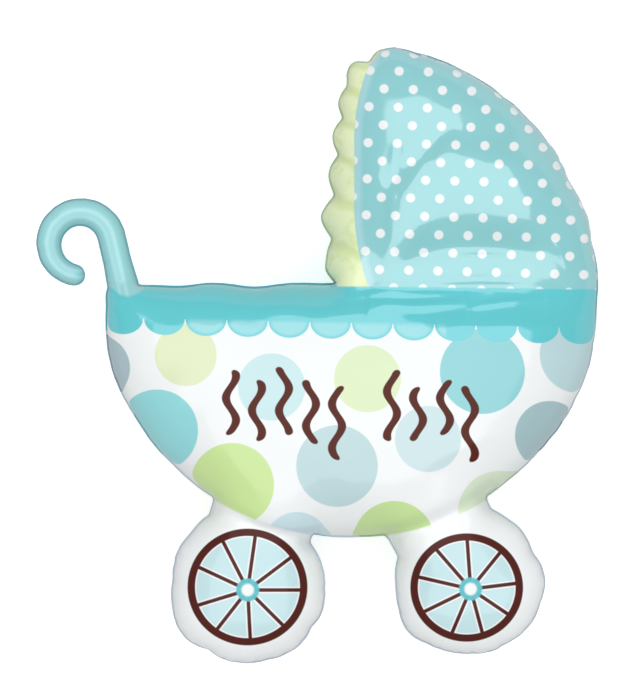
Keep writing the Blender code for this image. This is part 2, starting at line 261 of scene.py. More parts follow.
BODY_NOTCHES = (
    (-7.3, 0.010, 2.6),
    (-22.0, 0.006, 2.2),
    (8.0, 0.006, 2.4),
    (-158.0, 0.004, 2.5),
    (179.0, -0.014, 8.0),
)
HOOD_NOTCHES = (
    (104.9, 0.016, 3.0),
    (87.2, 0.010, 2.6),
    (62.8, 0.016, 3.2),
    (49.4, 0.012, 2.4),
    (16.8, 0.036, 3.0),
    (7.0, 0.008, 2.4),
    (-18.1, 0.012, 2.8),
    (-35.1, 0.016, 2.6),
    (-153.0, 0.045, 8.0),
    (-170.5, -0.050, 6.0),
)
HOOD_SWELLS = ((5.0, -0.055, 10.0),)
LEFT_WHEEL_NOTCHES = (
    (-124.0, 0.055, 9.0),
    (-33.0, 0.045, 8.0),
    (175.0, 0.018, 8.0),
    (-75.0, 0.010, 7.0),
)
LEFT_WHEEL_SWELLS = ((121.0, 0.10, 14.0), (152.0, 0.075, 22.0), (208.0, 0.09, 26.0))
RIGHT_WHEEL_NOTCHES = (
    (19.6, 0.022, 7.0),
    (-63.0, 0.030, 7.0),
    (-124.5, 0.016, 7.0),
    (-20.0, 0.012, 6.0),
)
RIGHT_WHEEL_SWELLS = ((58.0, -0.05, 16.0), (27.0, -0.08, 19.0), (222.0, 0.085, 18.0))
LEFT_WHEEL_X = WHEEL_MID_OFFSET - WHEEL_SPACING / 2
RIGHT_WHEEL_X = WHEEL_MID_OFFSET + WHEEL_SPACING / 2
# Each wheel: its place, the neck's width and aim, the phase of its puckers, its notches and swells.
WHEELS = (
    (LEFT_WHEEL_X, 0.126, -0.056, 0.0, LEFT_WHEEL_NOTCHES, LEFT_WHEEL_SWELLS),
    (RIGHT_WHEEL_X, 0.134, -0.032, 2.0, RIGHT_WHEEL_NOTCHES, RIGHT_WHEEL_SWELLS),
)
LOBES = [
    lobe(
        body_outline(),
        (0.065 * BODY_LENGTH, -0.34 * BODY_DEPTH),
        (26, 0.004, 0.4, 0.9, 0.9),
        BODY_NOTCHES,
    ),
    lobe(
        hood_outline(),
        (HINGE_OFFSET + 0.41 * HOOD_RADIUS, 0.38 * HOOD_RADIUS),
        (22, 0.006, 1.1, -1.57, 1.2),
        HOOD_NOTCHES,
        HOOD_SWELLS,
    ),
    *(wheel_lobe(*wheel) for wheel in WHEELS),
]
HANDLE_POINTS, HANDLE_HALVES = handle_path()
print("lobes:", len(LOBES), "and a handle; the seam lies", round(float(SEAM_HEIGHT), 4), "m up")

# %% [markdown]
# ## How high the film swells
#
# Film under pressure behaves like a soap film: it settles where its pull balances the gas. The
# height of such a film over a flat frame solves Poisson's equation, which says that each point lies a
# little above the mean of its neighbours. The square root of that height is a fair dome, round over a
# round frame. The equation is solved once on a fine raster over the outline by conjugate gradients,
# which in numpy is a short loop of whole-array sums.

# %% Depth inside the weld on a raster
RASTER = 0.002
CORNER_FILLET = 0.010


def smooth_greater(a, b, width):
    """The greater of two, with a parabola that rounds the change over within the width."""
    share = np.clip(0.5 + 0.5 * (a - b) / width, 0.0, 1.0)
    return b + (a - b) * share + width * share * (1.0 - share)


def lobe_depth(x, y, pole, reach):
    """Reach of the edge in the point's direction less the point's distance from the pole."""
    dx, dy = x - pole[0] - RIM_MIDDLE[0], y - pole[1] - RIM_MIDDLE[1]
    edge = np.interp(np.arctan2(dy, dx), DIRECTIONS, reach, period=2 * math.pi)
    return edge - np.hypot(dx, dy)


def handle_depth(x, y):
    """Half the handle's width less the distance from its middle line."""
    path = HANDLE_POINTS + RIM_MIDDLE
    deepest = np.full(x.shape, -1.0)
    for (px, py), half in zip(path, HANDLE_HALVES):
        deepest = np.maximum(deepest, half - np.hypot(x - px, y - py))
    return deepest


def depth_inside(x, y):
    """How far a point lies inside the whole outline, with small fillets where lobes meet."""
    depth = lobe_depth(x, y, *LOBES[0])
    for pole, reach in LOBES[1:]:
        depth = smooth_greater(depth, lobe_depth(x, y, pole, reach), CORNER_FILLET)
    return smooth_greater(depth, handle_depth(x, y), CORNER_FILLET)


raster_low = np.array([balloon_low[0], balloon_low[1]]) - 5 * RASTER
raster_size = ((np.array([balloon_high[0], balloon_high[1]]) - raster_low) / RASTER).astype(int) + 6
raster_x, raster_y = np.meshgrid(
    raster_low[0] + RASTER * np.arange(raster_size[0]),
    raster_low[1] + RASTER * np.arange(raster_size[1]),
    indexing="ij",
)
raster_depth = depth_inside(raster_x, raster_y) - WELD_WIDTH
print("raster", raster_depth.shape, "inside", int((raster_depth > 0).sum()))


# %% A soap film over the outline
def shifted(values, axis, step):
    """For each raster point the value that lies so many steps further along the axis."""
    return np.roll(values, -step, axis=axis)


def sum_beside(values):
    """The sum of the four values beside each raster point."""
    return sum(shifted(values, axis, step) for axis in (0, 1) for step in (1, -1))


def film_height(depth, rounds=900):
    """Solves Poisson's equation with zero on the outline, where it crosses between raster points.

    A neighbour outside the outline counts as zero at the crossing, a share of one step away.
    """
    inside = depth > 0.0
    pull = np.zeros_like(depth)
    for axis in (0, 1):
        for step in (1, -1):
            beside = shifted(depth, axis, step)
            crossing = np.clip(depth / np.maximum(depth - beside, 1e-9), 0.05, 1.0)
            pull += np.where(beside > 0.0, 1.0, 1.0 / crossing)

    def stretched(u):
        return np.where(inside, pull * u - sum_beside(u), 0.0)

    load = np.where(inside, RASTER**2, 0.0)
    height = np.zeros_like(depth)
    left = load.copy()
    ahead = left / np.maximum(pull, 1.0)
    eased = ahead.copy()
    product = float((left * eased).sum())
    for turn in range(rounds):
        force = stretched(ahead)
        share = product / float((ahead * force).sum())
        height += share * ahead
        left -= share * force
        eased = np.where(inside, left / np.maximum(pull, 1.0), 0.0)
        again = float((left * eased).sum())
        if again < 1e-14 * float((load * load).sum()):
            break
        ahead = eased + (again / product) * ahead
        product = again
    print("soap film settled after", turn + 1, "rounds, highest", round(float(height.max()), 5))
    return height


raster_film = film_height(raster_depth)

# %% [markdown]
# ## From film to foil
#
# A soap film stretches and foil doesn't, so a narrow lobe of foil swells more than its film would.
# A power a little under one half of the film's height gives the body, the wheels and the thin handle
# the thickness that each has in the frame. Where the hood stands on the body the foil is drawn in
# along the line from the hinge corner to the far side. The height near the weld rises so steeply
# that it is kept as a product: the depth inside the weld, and a smooth factor that says how fast the
# film rises there.

# %% The height of the foil as a function of place
FOIL_POWER = 0.42
HOOD_CREASE_DEPTH, HOOD_CREASE_RISE = 0.31, 0.030
HOOD_CREASE_WIDTHS = (0.066, 0.047)


def smooth_rise(depth, film):
    """Film height over depth, spread outwards over the outline by averaging known neighbours."""
    known = (depth > 0.6 * RASTER).astype(float)
    ratio = np.where(known > 0, film / np.maximum(depth, 1e-6), 0.0)
    for _ in range(8):
        total = known + sum_beside(known)
        summed = ratio * known + sum_beside(ratio * known)
        fresh = (known == 0) & (total > 0)
        ratio = np.where(fresh, summed / np.maximum(total, 1.0), ratio)
        known = np.where(fresh, 1.0, known)
    return ratio


def read_raster(values, x, y):
    """Bilinear reading of one or more rasters at the points."""
    across = np.clip((x - raster_low[0]) / RASTER, 0.0, raster_size[0] - 1.001)
    up = np.clip((y - raster_low[1]) / RASTER, 0.0, raster_size[1] - 1.001)
    i, j = across.astype(int), up.astype(int)
    a, b = across - i, up - j
    return (
        (1 - a) * (1 - b) * values[..., i, j]
        + a * (1 - b) * values[..., i + 1, j]
        + (1 - a) * b * values[..., i, j + 1]
        + a * b * values[..., i + 1, j + 1]
    )


def hood_crease(x, y):
    """A share under one along an arch over the hood's foot: a bell across it, with two widths."""
    along = np.clip((x - RIM_MIDDLE[0]) / HOOD_RADIUS, -0.2, 1.0)
    up = y - RIM_MIDDLE[1] - HOOD_CREASE_RISE * 4 * along * (1 - along)
    across = up / np.where(up > 0.0, HOOD_CREASE_WIDTHS[1], HOOD_CREASE_WIDTHS[0])
    started = 1.0 / (1.0 + np.exp(-(along - 0.03) / 0.05))
    return 1.0 - HOOD_CREASE_DEPTH * started * np.exp(-(across**2))


raster_rise = smooth_rise(raster_depth, raster_film)
raster_squared = np.maximum(raster_depth * raster_rise, 0.0) ** (2 * FOIL_POWER)
raster_squared *= hood_crease(raster_x, raster_y) ** 2
foil_scale = BODY_HALF_THICKNESS**2 / raster_squared.max()
slopes = np.gradient(raster_squared * foil_scale, RASTER)
height_tables = np.stack([raster_squared * foil_scale, *slopes])


def squared_height(x, y):
    """(squared height, its slope in x, its slope in y) of the foil over the seam's plane."""
    depth, rise, film = read_raster(np.stack([raster_depth, raster_rise, raster_film]), x, y)
    near_weld = np.maximum(depth * rise, 0.0)
    film = np.where(depth > 4 * RASTER, film, near_weld)
    square = foil_scale * film ** (2 * FOIL_POWER) * hood_crease(x, y) ** 2
    _, slope_x, slope_y = read_raster(height_tables, x, y)
    return square, slope_x, slope_y


print("foil scale", round(float(foil_scale), 3))

# %% [markdown]
# ## A sheet of foil with an even weave of points
#
# A plain grid lifted to that height would have hardly any points on the steep sides by the weld, and
# the puckers live there. So the grid is laid over the flat outline first, its edge is pulled exactly
# onto the weld, and then every point moves towards the mean of its neighbours and back onto the foil,
# again and again, until the points lie evenly over the swollen sheet. Where each point lay on the
# flat sheet is kept too: how far that is from the weld says later how deep a pucker is there.

# %% A grid cut to the outline
GRID = 0.0029
BORDER_ROUNDS = 40


def cells_inside():
    """Squares of the grid whose middle lies inside, without those that have under two neighbours."""
    counts = ((balloon_high[:2] - balloon_low[:2]) / GRID).astype(int) + 2
    xs = balloon_low[0] + GRID * np.arange(counts[0] + 1)
    ys = balloon_low[1] + GRID * np.arange(counts[1] + 1)
    grid_x, grid_y = np.meshgrid(xs, ys, indexing="ij")
    middle_x, middle_y = grid_x[:-1, :-1] + GRID / 2, grid_y[:-1, :-1] + GRID / 2
    keep = read_raster(raster_depth, middle_x, middle_y) > 0.0
    for _ in range(6):
        padded = np.pad(keep, 1)
        beside = padded[:-2, 1:-1] * 1 + padded[2:, 1:-1] + padded[1:-1, :-2] + padded[1:-1, 2:]
        keep = keep & (beside >= 2)
    return grid_x, grid_y, keep


def cut_grid():
    """(points, squares, corner triangles): a corner that only one square uses is cut off."""
    grid_x, grid_y, keep = cells_inside()
    uses = np.zeros(grid_x.shape, int)
    for a in (0, 1):
        for b in (0, 1):
            uses[a : uses.shape[0] - 1 + a, b : uses.shape[1] - 1 + b] += keep
    number = np.arange(grid_x.size).reshape(grid_x.shape)

    def corners(values):
        return np.stack([values[:-1, :-1], values[1:, :-1], values[1:, 1:], values[:-1, 1:]], -1)

    lone = corners(uses) == 1
    squares = corners(number)[keep & (lone.sum(-1) != 1)]
    cut = keep & (lone.sum(-1) == 1)
    after = (lone[cut].argmax(-1)[:, None] + np.array([1, 2, 3])) % 4
    triangles = np.take_along_axis(corners(number)[cut], after, 1)
    used, index = np.unique(np.concatenate([squares.ravel(), triangles.ravel()]), return_inverse=True)
    squares, triangles = index[: squares.size].reshape(-1, 4), index[squares.size :].reshape(-1, 3)
    return np.stack([grid_x.ravel()[used], grid_y.ravel()[used]], 1), squares, triangles


def edges_of(squares, triangles):
    """(all edges once, the border's edges in the direction of their face)."""
    loops = [faces[:, [k, (k + 1) % n]] for faces, n in ((squares, 4), (triangles, 3)) for k in range(n)]
    loops = np.concatenate(loops)
    once, index, counts = np.unique(
        np.sort(loops, 1), axis=0, return_inverse=True, return_counts=True
    )
    return once, loops[counts[index.ravel()] == 1]


def onto_weld(points, rounds):
    """Moves points along the depth's slope until their depth is zero."""
    slope_x, slope_y = np.gradient(raster_depth, RASTER)
    tables = np.stack([raster_depth, slope_x, slope_y])
    for _ in range(rounds):
        depth, dx, dy = read_raster(tables, points[:, 0], points[:, 1])
        steep = np.maximum(dx**2 + dy**2, 0.1)
        points = points - (depth / steep)[:, None] * np.stack([dx, dy], 1)
    return points


flat, squares, triangles = cut_grid()
edges, border = edges_of(squares, triangles)
after, before = np.full(len(flat), -1), np.full(len(flat), -1)
after[border[:, 0]] = border[:, 1]
before[border[:, 1]] = border[:, 0]
rim = np.flatnonzero(after >= 0)
flat[rim] = onto_weld(flat[rim], 6)
for _ in range(BORDER_ROUNDS):
    flat[rim] = 0.5 * flat[rim] + 0.25 * (flat[after[rim]] + flat[before[rim]])
    flat[rim] = onto_weld(flat[rim], 1)
print("grid:", len(flat), "points,", len(squares), "squares,", len(triangles), "triangles")


# %% Even the points out over the swollen sheet
def mean_of_neighbours(points):
    """The mean place of the points that share an edge with each point."""
    total = np.empty_like(points)
    for axis in range(points.shape[1]):
        values = points[:, axis]
        total[:, axis] = np.bincount(edges[:, 0], values[edges[:, 1]], len(points))
        total[:, axis] += np.bincount(edges[:, 1], values[edges[:, 0]], len(points))
    return total / np.bincount(edges.ravel(), minlength=len(points))[:, None]


def onto_foil(points):
    """One Newton step onto z squared = squared height."""
    square, dx, dy = squared_height(points[:, 0], points[:, 1])
    miss = points[:, 2] ** 2 - square
    slope = np.stack([-dx, -dy, 2 * points[:, 2]], 1)
    moved = points - (miss / np.maximum((slope**2).sum(1), 1e-7))[:, None] * slope
    moved[:, 2] = np.maximum(moved[:, 2], 0.0)
    return moved


def evened(points):
    """The free points, moved half way to the mean of their neighbours and back onto the foil."""
    halfway = 0.5 * mean_of_neighbours(points)[free] + 0.5 * points[free]
    return onto_foil(onto_foil(halfway))


MOVING_ROUNDS, CALMING_ROUNDS, MOMENTUM = 220, 12, 0.88
free = np.flatnonzero(after < 0)
sheet = np.column_stack([flat, np.sqrt(squared_height(flat[:, 0], flat[:, 1])[0])])
sheet[rim, 2] = 0.0
last = sheet.copy()
for _ in range(MOVING_ROUNDS):
    ahead = sheet + MOMENTUM * (sheet - last)
    last = sheet.copy()
    sheet[free] = evened(ahead)
for _ in range(CALMING_ROUNDS):
    sheet[free] = evened(sheet)
for _ in range(6):
    sheet[free] = onto_foil(sheet[free])
miss = sheet[free, 2] - np.sqrt(squared_height(sheet[free, 0], sheet[free, 1])[0])
lengths = np.linalg.norm(sheet[edges[:, 0]] - sheet[edges[:, 1]], axis=1) * 1000
print("miss of the foil, mm:", np.percentile(np.abs(miss) * 1000, [50, 99, 99.9, 100]).round(3))
print("edge lengths, mm:", np.percentile(lengths, [0, 1, 50, 99, 100]).round(2))

# %% [markdown]
# ## Puckers along the weld
#
# A flat sheet has more length along its edge than the swollen balloon has room for. The spare length
# folds into puckers: sharp little valleys that start at the weld and run inwards, with soft bulges
# between them. A cloth simulation finds such folds too, but at this size it only found the first few
# of them, and slowly. So each pucker is placed by rule: steps of uneven length along the weld, deeper
# where the outline turns outwards, as round the wheels, and none in the hollow corners.

# %% Where each point lies along the weld, and how far from it
def ordered_border():
    """The border's points in order round each loop, the longest loop first."""
    left, loops = set(rim.tolist()), []
    while left:
        start = min(left)
        loop, point = [], start
        while point in left:
            left.remove(point)
            loop.append(point)
            point = int(after[point])
        loops.append(np.array(loop))
    return sorted(loops, key=len, reverse=True)


loops = ordered_border()
print("loops of the border:", [len(loop) for loop in loops])
weld = loops[0]
weld_xy = flat[weld]
weld_steps = np.linalg.norm(np.roll(weld_xy, -1, 0) - weld_xy, axis=1)
weld_place = np.concatenate([[0.0], np.cumsum(weld_steps)[:-1]])
weld_length = float(weld_steps.sum())


def averaged_round(values, reach):
    """A closed row of values, each averaged with its neighbours by a bell curve."""
    bell = np.exp(-0.5 * (np.arange(-3 * reach, 3 * reach + 1) / reach) ** 2)
    wrapped = np.concatenate([values[-3 * reach :], values, values[: 3 * reach]])
    return np.convolve(wrapped, bell / bell.sum(), "valid")


forwards = np.roll(weld_xy, -1, 0) - np.roll(weld_xy, 1, 0)
forwards /= np.linalg.norm(forwards, axis=1)[:, None]
outwards = np.stack([averaged_round(forwards[:, 1], 1), averaged_round(-forwards[:, 0], 1)], 1)
outwards /= np.linalg.norm(outwards, axis=1)[:, None]
heading = np.unwrap(np.arctan2(forwards[:, 1], forwards[:, 0]))
turning = (np.roll(heading, -4) - np.roll(heading, 4) + 2 * math.pi) % (2 * math.pi)
turning = np.where(turning > math.pi, turning - 2 * math.pi, turning)
run = weld_steps.mean() * 8
bend = averaged_round(turning / run, 5)
print("weld length", round(weld_length, 3), "m, bend", bend.min().round(1), "to", bend.max().round(1))


def nearest_on_weld(points):
    """(index of the nearest point of the weld, distance to it), in blocks to save memory."""
    index, distance = np.empty(len(points), int), np.empty(len(points))
    for start in range(0, len(points), 2000):
        block = points[start : start + 2000]
        gap = np.hypot(block[:, None, 0] - weld_xy[:, 0], block[:, None, 1] - weld_xy[:, 1])
        index[start : start + 2000] = gap.argmin(1)
        distance[start : start + 2000] = gap.min(1)
    return index, distance


near_weld, from_weld = nearest_on_weld(flat)


# %% Valleys and bulges
PUCKER_STEPS, PUCKER_REACHES = (0.012, 0.030), (0.022, 0.050)
PUCKER_DEPTHS, PUCKER_LEANS = (0.0010, 0.0026), (-0.25, 0.25)
HOLLOW_BEND, FULL_BEND = -2.0, 9.0


def puckers(seed):
    """How far each point of a sheet moves along its normal, in metres.

    Every pucker is a sharp bell downwards less a broad low one, so it is a valley between two bulges.
    It deepens quickly from the weld and then dies away with the distance inwards.
    """
    draw = np.random.default_rng(seed)
    place, moved = 0.0, np.zeros(len(flat))
    swell = np.clip(bend / FULL_BEND, 0.0, 1.0)
    count = 0
    while place < weld_length:
        step, reach = draw.uniform(*PUCKER_STEPS), draw.uniform(*PUCKER_REACHES)
        depth, lean = draw.uniform(*PUCKER_DEPTHS), draw.uniform(*PUCKER_LEANS)
        at = int(np.argmin(np.abs(weld_place - place)))
        strength = 0.0 if bend[at] < HOLLOW_BEND else 0.25 + 0.75 * swell[at]
        along = weld_place[near_weld] - place - lean * from_weld
        along = (along + weld_length / 2) % weld_length - weld_length / 2
        narrow = np.exp(-np.abs(along / (0.32 * step)) ** 1.5)
        wide = np.exp(-(along / (0.62 * step)) ** 2)
        inwards = np.exp(-((from_weld / reach) ** 2)) * (0.35 + 0.65 * np.tanh(from_weld / 0.006))
        moved += strength * depth * inwards * (0.55 * wide - narrow)
        place += step
        count += 1
    print("puckers:", count)
    return moved


def normals_of(points):
    """Area-weighted normals of the sheet's points."""
    first = np.concatenate([squares, triangles[:, [0, 1, 2, 2]]])
    face = np.cross(points[first[:, 2]] - points[first[:, 0]], points[first[:, 3]] - points[first[:, 1]])
    face[len(squares) :] = np.cross(
        points[triangles[:, 1]] - points[triangles[:, 0]],
        points[triangles[:, 2]] - points[triangles[:, 0]],
    )
    total = np.zeros_like(points)
    for corner in range(4):
        for axis in range(3):
            total[:, axis] += np.bincount(first[:, corner], face[:, axis], len(points))
    return total / np.maximum(np.linalg.norm(total, axis=1), 1e-12)[:, None]


# %% [markdown]
# ## Folds, gathers and dents
#
# Away from the weld the foil has long folds. Two valleys cross the necks where the wheels hang from
# the body. Thin ridges run through the band under the hood, bow over the hood's foot, leave the root
# of the handle and cross the keel. Low swells, several times as broad, lie on the hood and the band.
# They hardly show as shape, but they tilt the foil, and so they decide where it mirrors the light: the
# dark arch over the hood's pale patch is the far side of one. The ruffle is gathered at each notch of
# its edge, and the whole sheet is a little dented, as film is that was folded before it was filled.
# Each fold is a line between two places with a bow, a bell across it and a taper at its ends, and
# where it lies is measured on the photograph. The gathers lean, because the ruffle's rays do.

# %% Long folds
MM = 0.001
GATHER_DEPTH, GATHER_START, GATHER_SLANT = 2.4 * MM, 0.035, 7.0
DENT_HEIGHT = 0.84 * MM
FOLDS = (
    # The band: thin ridges along it and across it.
    ((340, 298), (459, 294), 1.0, 3.5, 1.0),
    ((366, 309), (468, 303), 0.0, 6.0, 1.7),
    ((467, 308), (552, 298), 1.0, 3.5, 1.2),
    ((303, 301), (352, 298), 1.0, 3.5, 0.9),
    ((362, 288), (594, 287), 2.0, 3.5, 0.9),
    ((369, 292), (368, 326), 1.0, 3.5, 0.9),
    ((464, 291), (470, 323), 1.0, 3.5, 0.7),
    ((549, 290), (546, 318), 1.0, 3.5, 0.7),
    # The root of the handle.
    ((129, 299), (143, 321), -2.0, 3.5, 1.0),
    ((111, 318), (132, 297), 5.0, 3.5, 0.9),
    # The hood's foot and its right side: thin ridges.
    ((382, 276), (566, 271), 22.0, 4.0, 0.9),
    ((390, 281), (566, 278), 15.0, 3.5, 0.9),
    ((400, 285), (560, 283), 6.0, 3.5, 0.6),
    ((553, 241), (570, 276), 2.0, 4.0, 1.0),
    ((495, 236), (496, 284), 0.0, 3.5, 0.5),
    # The hood's front: a thin ridge and a small valley.
    ((392, 240), (396, 140), 2.0, 4.5, 1.1),
    ((388, 188), (455, 124), 2.0, 13.0, -3.8),
    # The hood: broad swells.
    ((396, 172), (606, 214), 6.0, 42.0, 10.5),
    ((436, 150), (562, 174), 0.0, 25.0, 5.0),
    ((412, 198), (374, 332), 0.0, 26.0, 9.5),
    # The band: broad swells.
    ((425, 334), (615, 330), 0.0, 18.0, 5.5),
    ((150, 305), (372, 308), 0.0, 12.0, 1.6),
    ((215, 311), (400, 317), 0.0, 13.0, 1.9),
    # The keel and the body: thin ridges.
    ((240, 515), (300, 530), -2.0, 3.5, 1.0),
    ((270, 537), (322, 524), 2.0, 4.0, 0.9),
    ((420, 470), (500, 432), 3.0, 7.0, 0.8),
    # The necks of the wheels: valleys.
    ((210, 504), (318, 541), -9.0, 13.0, -9.5),
    ((380, 539), (498, 488), -9.0, 13.0, -10.5),
)


def fold(x, y, start, end, bow, width, height):
    """A bell across a line that bows by a parabola. Ridges taper off sooner than valleys do.

    The line's two ends and its bow are in pixels of the photograph, width and height in millimetres.
    """
    start, end = from_photo(*start), from_photo(*end)
    span = end - start
    length = float(np.hypot(*span))
    along = ((x - start[0]) * span[0] + (y - start[1]) * span[1]) / length**2
    along = np.clip(along, 0.0, 1.0)
    across = ((y - start[1]) * span[0] - (x - start[0]) * span[1]) / length
    across = across - 4 * bow * PIXEL * along * (1 - along)
    taper = np.maximum(np.sin(math.pi * along), 0.0) ** (0.6 if height > 0.0 else 0.3)
    return height * MM * taper * np.exp(-((across / (width * MM)) ** 2))


def gathers(x, y):
    """Valleys of the ruffle that run inwards from the notches of its edge."""
    share = np.clip(1.0 - (y - RIM_MIDDLE[1]) / RUFFLE_HEIGHT, 0.0, 1.0)
    phase = RUFFLE_SCALLOPS * share**RUFFLE_SPREAD - GATHER_SLANT * (x - RIM_MIDDLE[0] + GATHER_START)
    gap = phase - np.round(phase)
    wobble = 0.35 * np.sin(9.0 * phase + 90.0 * (x - RIM_MIDDLE[0]))
    on_ruffle = 1.0 / (1.0 + np.exp((x - RIM_MIDDLE[0] - 0.006) / 0.003))
    on_ruffle = on_ruffle * (y > RIM_MIDDLE[1] + 0.004) * (x > RIM_MIDDLE[0] - 0.08)
    return -GATHER_DEPTH * on_ruffle * (np.exp(-((gap / 0.12) ** 2)) - 0.25 * (1.0 + wobble))


def dents(x, y, seed, count=14):
    """A sum of slow waves of 50 to 140 mm in drawn directions, each rising higher than it dips."""
    draw = np.random.default_rng(seed)
    total = np.zeros_like(x)
    for _ in range(count):
        length, turn, phase = draw.uniform(0.05, 0.14), draw.uniform(0.0, 3.14), draw.uniform(0.0, 6.28)
        wave = np.sin(2 * math.pi * (x * math.cos(turn) + y * math.sin(turn)) / length + phase)
        total += (length / 0.10) * (wave + 0.3 * np.abs(wave))
    return DENT_HEIGHT * total / math.sqrt(count)


def puckered(seed):
    """The swollen sheet moved along its normals. On the weld the move stays in the seam's plane."""
    x, y = as_seen(sheet).T
    moved = sum(fold(x, y, *line) for line in FOLDS) + gathers(x, y)
    moved = (moved + dents(x, y, seed)) * np.clip(from_weld / 0.012, 0.0, 1.0)
    moved = moved + puckers(seed)
    normal = normals_of(sheet)
    normal[weld] = np.column_stack([outwards, np.zeros(len(weld))])
    made = sheet + moved[:, None] * normal
    made[:, 2] = np.maximum(made[:, 2], 0.0)
    return made


front_sheet = puckered(7)
back_sheet = puckered(23)
print("folds:", len(FOLDS), "and the front sheet rises to", round(float(front_sheet[:, 2].max()), 4))

# %% [markdown]
# ## One sealed skin
#
# The two sheets meet in the weld, a narrow flat hem. The back sheet is the front one turned over, with
# puckers and dents of its own. Two rings of squares that meet at the hem's cut edge join the sheets,
# so the foil is one closed surface. The back is pressed flat where the balloon lies on the floor. The
# hem droops outwards and isn't quite straight: it rises and falls by about a millimetre.

# %% Put the skin together
WELD_HALF_THICKNESS = 0.00025
HEM_WAVE_LENGTHS, HEM_WAVE_HEIGHT = (0.055, 0.031, 0.019), 0.00035


def hem_wave(seed):
    """Small lifts of the hem, a sum of three sines along the weld with drawn phases."""
    draw = np.random.default_rng(seed)
    wave = np.zeros(len(weld))
    for length in HEM_WAVE_LENGTHS:
        turns = round(weld_length / length)
        wave += np.sin(2 * math.pi * turns * weld_place / weld_length + draw.uniform(0.0, 6.3))
    return wave * HEM_WAVE_HEIGHT


def skin_points():
    """Front sheet, back sheet and the hem's cut edge, about the seam's height."""
    lift = hem_wave(5)
    front, back = front_sheet.copy(), back_sheet.copy()
    front[:, 2] += WELD_HALF_THICKNESS
    back[:, 2] = -np.minimum(back[:, 2] + WELD_HALF_THICKNESS, SEAM_HEIGHT)
    back[weld, :2] = front[weld, :2]
    front[weld, 2] += 0.4 * lift
    back[weld, 2] += 0.4 * lift
    edge = np.column_stack([front[weld, :2] + WELD_WIDTH * outwards, lift - WELD_DROOP])
    points = np.concatenate([front, back, edge])
    points[:, 2] += SEAM_HEIGHT
    return points


def skin_faces():
    """Squares and triangles of both sheets, turned outwards, and the hem's two rings."""
    count = len(flat)
    next_weld = np.roll(weld, -1)
    edge = 2 * count + np.arange(len(weld))
    next_edge = np.roll(edge, -1)
    front_hem = np.stack([weld, edge, next_edge, next_weld], 1)
    back_hem = np.stack([next_weld + count, next_edge, edge, weld + count], 1)
    fours = np.concatenate([squares, squares[:, ::-1] + count, front_hem, back_hem])
    threes = np.concatenate([triangles, triangles[:, ::-1] + count])
    return fours, threes


def mesh_from(name, points, fours, threes):
    """A mesh whose loops are filled as whole arrays, squares first and then triangles."""
    mesh = bpy.data.meshes.new(name)
    mesh.vertices.add(len(points))
    mesh.vertices.foreach_set("co", points.astype(np.float32).ravel())
    loops = np.concatenate([fours.ravel(), threes.ravel()]).astype(np.int32)
    sizes = np.concatenate([np.full(len(fours), 4), np.full(len(threes), 3)])
    mesh.loops.add(len(loops))
    mesh.loops.foreach_set("vertex_index", loops)
    mesh.polygons.add(len(sizes))
    starts = np.concatenate([[0], np.cumsum(sizes)[:-1]]).astype(np.int32)
    mesh.polygons.foreach_set("loop_start", starts)
    mesh.update(calc_edges=True)
    mesh.validate()
    mesh.shade_smooth()
    return mesh


def linked(name, data):
    """A new object for a mesh or a camera, put into the scene."""
    made = bpy.data.objects.new(name, data)
    bpy.context.scene.collection.objects.link(made)
    return made


def sharpen(mesh, joints):
    """Marks the edges between these pairs of points as sharp, so that their shading breaks there."""
    ends = np.empty(2 * len(mesh.edges), np.int32)
    mesh.edges.foreach_get("vertices", ends)
    keys = np.sort(ends.reshape(-1, 2), 1) @ np.array([len(mesh.vertices), 1])
    wanted = np.sort(joints, 1) @ np.array([len(mesh.vertices), 1])
    sharp = mesh.attributes.new("sharp_edge", "BOOLEAN", "EDGE")
    sharp.data.foreach_set("value", np.isin(keys, wanted))


foil = linked("foil_skin", mesh_from("foil_skin", skin_points(), *skin_faces()))
around_weld = np.stack([weld, np.roll(weld, -1)], 1)
cut_edge = 2 * len(flat) + np.arange(len(weld))
around_edge = np.stack([cut_edge, np.roll(cut_edge, -1)], 1)
sharpen(foil.data, np.concatenate([around_weld, around_weld + len(flat), around_edge]))
print("foil skin:", len(foil.data.vertices), "points,", len(foil.data.polygons), "faces")

# %% [markdown]
# ## Where the ink lies
#
# Seen from above the print looks flat, so the place of a point in the print is where the camera sees
# it over the seam's plane. That fails on the steep sides, where a dot would run down like paint. There
# the foil goes on for centimetres while its plan position hardly moves, so the missing length is added
# along the weld's outward direction. The place without it says which lobe the point is on. Both are
# stored on the points, and the foil's material reads them.

# %% Places in the print
PROFILE_STEPS = 48
PROFILE_REACH = 0.075
STEEP_START_DEG, STEEP_FULL_DEG = 52.0, 68.0


def missing_length():
    """For each point of the weld, (distances inwards, length lost in plan between there and the top).

    Going outwards, each step loses its slant length less its plan length, where the foil is steep.
    """
    inwards = PROFILE_REACH * np.linspace(0.0, 1.0, PROFILE_STEPS) ** 2
    at = weld_xy[:, None] - inwards[:, None] * outwards[:, None]
    square = squared_height(at[..., 0].ravel(), at[..., 1].ravel())[0]
    height = np.sqrt(square).reshape(len(weld), PROFILE_STEPS)
    drop, step = np.maximum(np.diff(height, axis=1), 0.0), np.diff(inwards)
    slope = np.degrees(np.arctan2(drop, step))
    share = np.clip((slope - STEEP_START_DEG) / (STEEP_FULL_DEG - STEEP_START_DEG), 0.0, 1.0)
    lost = share * (np.hypot(drop, step) - step)
    total = np.concatenate([np.cumsum(lost[:, ::-1], 1)[:, ::-1], np.zeros((len(weld), 1))], 1)
    return inwards, total


